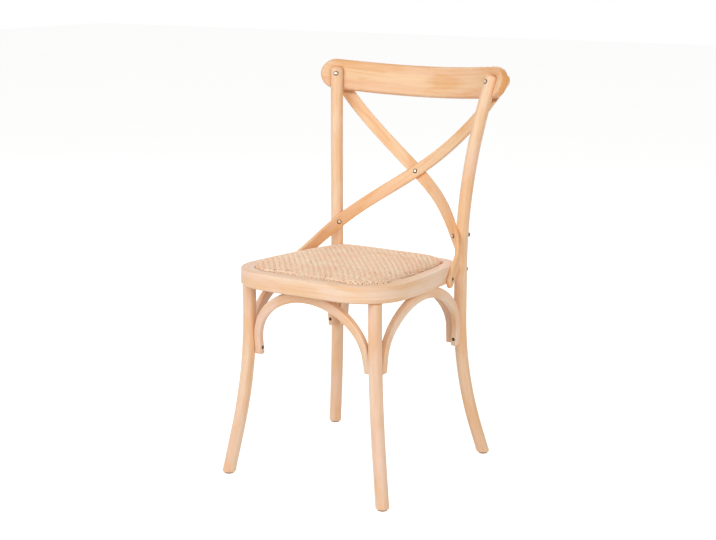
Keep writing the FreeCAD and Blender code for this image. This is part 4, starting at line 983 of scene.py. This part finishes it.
def weave():
    low, high = PAD_OUTLINE.min(axis=0), PAD_OUTLINE.max(axis=0)
    vertices, faces, grain = [], [], []
    random = np.random.default_rng(WEAVE_SEED)
    for axis in (0, 1):
        other = 1 - axis
        spacing, pitch = WEAVE_PITCHES[axis], WEAVE_PITCHES[other]
        section = CANE_SECTION * (CANE_WIDTHS[axis], CANE_THICKNESS)
        count = int((high[axis] - low[axis]) / spacing)
        for n in range(1, count + 1):
            place = low[axis] + n * spacing
            found = crossings(PAD_OUTLINE, axis, place)
            if len(found) < 2 or found[-1] - found[0] < SHORTEST_STRAND * pitch:
                continue
            stops = strand_stops(found, low[other], pitch)
            faces += strand_faces(len(vertices), len(stops), axis)
            wander = random.normal(0, CANE_WANDER, len(stops))
            seed = n * STRAND_SEEDS[0] + axis * STRAND_SEEDS[1]
            for (along, k), shift in zip(stops, wander):
                x, y = (place + shift, along) if axis == 0 else (along, place + shift)
                edge = min(along - found[0], found[-1] - along)
                level, slope = strand_level(x, y, axis, edge, strand_lift(n, k, axis))
                for across, up in section:
                    point = (x + across, y) if axis == 0 else (x, y + across)
                    vertices.append((*point, level + up + across * slope))
                    grain.append((along, across, seed))
    mesh = bpy.data.meshes.new("rattan_weave")
    mesh.from_pydata(seat_point(vertices).tolist(), [], faces)
    mesh.polygons.foreach_set("use_smooth", [True] * len(mesh.polygons))
    write_corner_vectors(mesh, "grain", np.array(grain)[read_all(mesh.loops, "vertex_index")])
    mesh.update()
    return mesh


BACKING_INSETS = (0.0008, 0.0025, 0.005, 0.009, 0.015, 0.025, 0.04, 0.06, 0.09, 0.12, 0.15)
BACKING_REACH = 0.165
BACKING_GAP = 0.0004
BACKING_STEP = 0.008
BACKING_BOTTOM = -0.0090
BACKING_DEPTH = 2.9


def backing():
    """Closed pad under the weave, crowned like it."""
    ring = seat_outline(WEAVE_INSET + BACKING_GAP, BACKING_STEP)
    count = len(ring)
    vertices = [(x, y, BACKING_BOTTOM) for x, y in ring]
    faces = []
    for inset in BACKING_INSETS:
        share = 1 - inset / BACKING_REACH
        for x, y in PAD_MIDDLE + (ring - PAD_MIDDLE) * share:
            vertices.append((x, y, crown_height(x, y) - CANE_THICKNESS * BACKING_DEPTH))
    layers = len(BACKING_INSETS)
    for layer in range(layers):
        for k in range(count):
            a, b = layer * count + k, layer * count + (k + 1) % count
            faces.append((a, b, b + count, a + count))
    faces.append(tuple(range(count))[::-1])
    faces.append(tuple(range(layers * count, (layers + 1) * count)))
    mesh = bpy.data.meshes.new("rattan_shade_backing")
    mesh.from_pydata(seat_point(vertices).tolist(), [], faces)
    shade(mesh)
    return mesh


add_piece("rattan_weave", weave(), RATTAN, ["rattan_seat"])
# The pad under the weave is coloured dark as painted shade in the gaps of the weave
add_piece("rattan_shade_backing", backing(), GAP_SHADE)


# Screws and bolts: a domed head with a cross recess, or with a hexagon socket on the bolts
SHANK_CHAMFER = (0.6, 0.8)
HEAD_RIM = 0.25
RIM_SHARES = ((0.97, 0.0), (1.0, 0.35), (0.995, 1.0))
DOME_STOPS = (0.9, 0.78, 0.62, 0.45, 0.25)
RECESS_FLOOR = 0.55
RECESS_TOP = 0.01


def head_profile(radius, height, shank, length):
    """Domed head on the origin's plane, with a softened rim and a plain shank below."""
    rim = height * HEAD_RIM
    inwards, upwards = SHANK_CHAMFER
    profile = [(0, -length), (shank * inwards, -length), (shank, -length + shank * upwards), (shank, 0)]
    profile += [(radius * out, rim * up) for out, up in RIM_SHARES]
    rise = height - rim
    ball = (radius ** 2 + rise ** 2) / (2 * rise)
    for share in DOME_STOPS:
        reach = radius * share
        profile.append((reach, height - ball + math.sqrt(ball ** 2 - reach ** 2)))
    return profile + [(0, height)]


def cross_outline(reach, half):
    """Four arms, each a quarter turn on from the last."""
    arm = [(half, half), (half, reach), (-half, reach)]
    quarters = ((1, 0), (0, 1), (-1, 0), (0, -1))
    return [(x * c - y * s, x * s + y * c) for c, s in quarters for x, y in arm]


def hexagon(radius):
    turns = [math.radians(60 * k) for k in range(6)]
    return [(radius * math.cos(turn), radius * math.sin(turn)) for turn in turns]


# Each head: radius, height, radius of its shank, outline of its recess, and lift over its seat
HEADS = {
    "screw": (0.004, 0.0024, 0.002, cross_outline(0.0022, 0.00042), 0.0),
    "broad": (0.0054, 0.0024, 0.002, cross_outline(0.0024, 0.00042), 0.0005),
    "bolt": (0.0054, 0.0028, 0.0025, hexagon(0.0019), 0.0003),
}
# Share of a head's radius that gets the painted highlight
HIGHLIGHT_REACH = 0.55
FIRST_TURN = 11
NEXT_TURN = 37
HEAD_SHARE = 0.9


def head_mesh(kind, length):
    """A head and its shank, raised a little where the head is wider than its seat."""
    radius, height, shank, recess, lift = HEADS[kind]
    head = as_object(revolve(head_profile(radius, height, shank, length)), f"{kind}_form")
    rows = [[(x, y, z) for x, y in recess] for z in (height * RECESS_FLOOR, RECESS_TOP)]
    mesh = carve(head, [as_object(loft(rows), f"{kind}_recess")])
    mesh.transform(Matrix.Translation((0, 0, lift)))
    return mesh


def solids_of(node):
    """The separate solids of a node, each as an array of its points."""
    work = welded(nodes[node].data)
    seen = set()
    found = []
    for vert in work.verts:
        if vert in seen:
            continue
        group, stack = [], [vert]
        seen.add(vert)
        while stack:
            current = stack.pop()
            group.append(tuple(current.co))
            for edge in current.link_edges:
                other = edge.other_vert(current)
                if other not in seen:
                    seen.add(other)
                    stack.append(other)
        found.append(np.array(group))
    work.free()
    return found


def fastener_axis(points):
    """Middle of the underside of the head, way out of the head, and length of the shank."""
    centre = (points.max(axis=0) + points.min(axis=0)) / 2
    values, vectors = np.linalg.eigh(np.cov((points - points.mean(axis=0)).T))
    spread = [abs(values[1] - values[2]), abs(values[0] - values[1])]
    axis = vectors[:, 0] if spread[0] < spread[1] else vectors[:, 2]
    along = (points - centre) @ axis
    across = np.linalg.norm(points - centre - np.outer(along, axis), axis=1)
    head = across > across.max() * HEAD_SHARE
    if along[head].mean() < (along.max() + along.min()) / 2:
        axis, along = -axis, -along
    middle = points[np.argmax(along)]
    under = along[head].min()
    return middle - axis * (along.max() - under), axis, under - along.min()


def paint_head_highlights(piece, axes, reach):
    """Painted highlight: brighter metal in the middle of each head."""
    piece.data.materials.append(HIGHLIGHT_METAL)
    for face in piece.data.polygons:
        for place, way in axes:
            offset = np.array(face.center) - place
            level = offset @ way
            if 0 < level and np.linalg.norm(offset - way * level) < reach:
                face.material_index = 1


def dress_fasteners(node, kind):
    """Every solid of the node as a detailed screw or bolt in the same place."""
    work = bmesh.new()
    axes = []
    for i, points in enumerate(solids_of(node)):
        place, way, length = fastener_axis(points)
        axes.append((place, way))
        mesh = head_mesh(kind, length)
        turn = Matrix.Rotation(math.radians(FIRST_TURN + NEXT_TURN * i), 4, "Z")
        upright = Vector(way).to_track_quat("Z", "Y").to_matrix().to_4x4()
        mesh.transform(Matrix.Translation(Vector(place)) @ upright @ turn)
        work.from_mesh(mesh)
        bpy.data.meshes.remove(mesh)
    mesh = stored(work, bpy.data.meshes.new(f"{node}_detailed"))
    shade(mesh)
    piece = add_piece(f"{node}_detailed", mesh, METAL, [node])
    # The larger heads get a painted highlight in their middle
    if kind != "screw":
        paint_head_highlights(piece, axes, HEADS[kind][0] * HIGHLIGHT_REACH)


FASTENERS = {
    "screw": (
        "slat_end_screws", "slat_top_screws", "arch_leg_screws", "arch_seat_screws", "seat_base_screws",
    ),
    "broad": ("crest_screws", "cross_screw"),
    "bolt": ("slat_bolts", "seat_bolts"),
}
for kind, names in FASTENERS.items():
    for node in names:
        dress_fasteners(node, kind)


# Floor, light and camera
FLOOR_GLOW = 0.66
FLOOR_HALF = 14.0
PAPER_TONES = ((0.76, 0.76, 0.76, 1), (0.79, 0.79, 0.79, 1))
floor_mesh = bpy.data.meshes.new("floor")
floor_corners = [(x * FLOOR_HALF, y * FLOOR_HALF, 0) for x, y in ((-1, -1), (1, -1), (1, 1), (-1, 1))]
floor_mesh.from_pydata(floor_corners, [], [(0, 1, 2, 3)])
floor = put_in_scene("floor", floor_mesh)
paper = Shader("floor_paper")
mottle = paper.noise(paper.place(), 3.0)
paper.set("Base Color", paper.mix(mottle, *PAPER_TONES))
paper.set("Roughness", 0.9)
paper.set("Specular IOR Level", 0.0)
glow = paper.math("MULTIPLY", paper.shown_to_eye(), FLOOR_GLOW)
paper.set("Emission Color", (1, 1, 1, 1))
paper.set("Emission Strength", glow)
floor_mesh.materials.append(paper.material)

AMBIENT_COLOUR = (1.0, 0.99, 0.98, 1)
AMBIENT = 0.40
world = bpy.data.worlds.new("studio")
bpy.context.scene.world = world
sky = NodeTree(world)
lighting = sky.add("ShaderNodeBackground", {"Color": AMBIENT_COLOUR, "Strength": AMBIENT})
backdrop = sky.add("ShaderNodeBackground", {"Color": (1, 1, 1, 1), "Strength": 1.0})
shares = {0: sky.shown_to_eye(), 1: lighting.outputs[0], 2: backdrop.outputs[0]}
sky.add("ShaderNodeOutputWorld", {0: sky.add("ShaderNodeMixShader", shares).outputs[0]})

TARGET = Vector((0.0012, DATUM_Y, 0.4446))
LAMP_WIDTH = 2.2


def place_on_sphere(azimuth, elevation, distance):
    """Point round the chair: azimuth from the front towards the right, in degrees."""
    azimuth, elevation = math.radians(azimuth), math.radians(elevation)
    level = math.cos(elevation)
    way = Vector((math.sin(azimuth) * level, -math.cos(azimuth) * level, math.sin(elevation)))
    return TARGET + way * distance


def softbox(name, azimuth, elevation, distance, energy, colour):
    lamp = bpy.data.lights.new(name, "AREA")
    lamp.shape = "SQUARE"
    lamp.size = LAMP_WIDTH
    lamp.energy = energy
    lamp.color = colour
    piece = put_in_scene(name, lamp)
    piece.location = place_on_sphere(azimuth, elevation, distance)
    piece.rotation_euler = (TARGET - piece.location).to_track_quat("-Z", "Y").to_euler()


# Each lamp: azimuth, elevation, distance, watts, colour
LAMPS = {
    "key": (-22, 30, 3.4, 54.0, (1.0, 1.0, 1.0)),
    "fill": (62, 20, 3.8, 47.0, (1.0, 0.955, 0.88)),
    "back": (200, 30, 3.8, 26.0, (1.0, 1.0, 1.0)),
}
for name, measures in LAMPS.items():
    softbox(name, *measures)

CAMERA_PLACE = (33.52, 12.56, 3.1924)
CAMERA_ROLL = math.radians(-0.09)
CAMERA_LENS = 73.04
SENSOR_WIDTH = 36.0
camera_data = bpy.data.cameras.new("camera")
camera_data.lens = CAMERA_LENS
camera_data.sensor_width = SENSOR_WIDTH
camera = put_in_scene("camera", camera_data)
camera.location = place_on_sphere(*CAMERA_PLACE)
aim = (TARGET - camera.location).to_track_quat("-Z", "Y")
camera.rotation_euler = (aim.to_matrix() @ Matrix.Rotation(CAMERA_ROLL, 3, "Z")).to_euler()
bpy.context.scene.camera = camera
bpy.context.scene.view_settings.view_transform = "Standard"
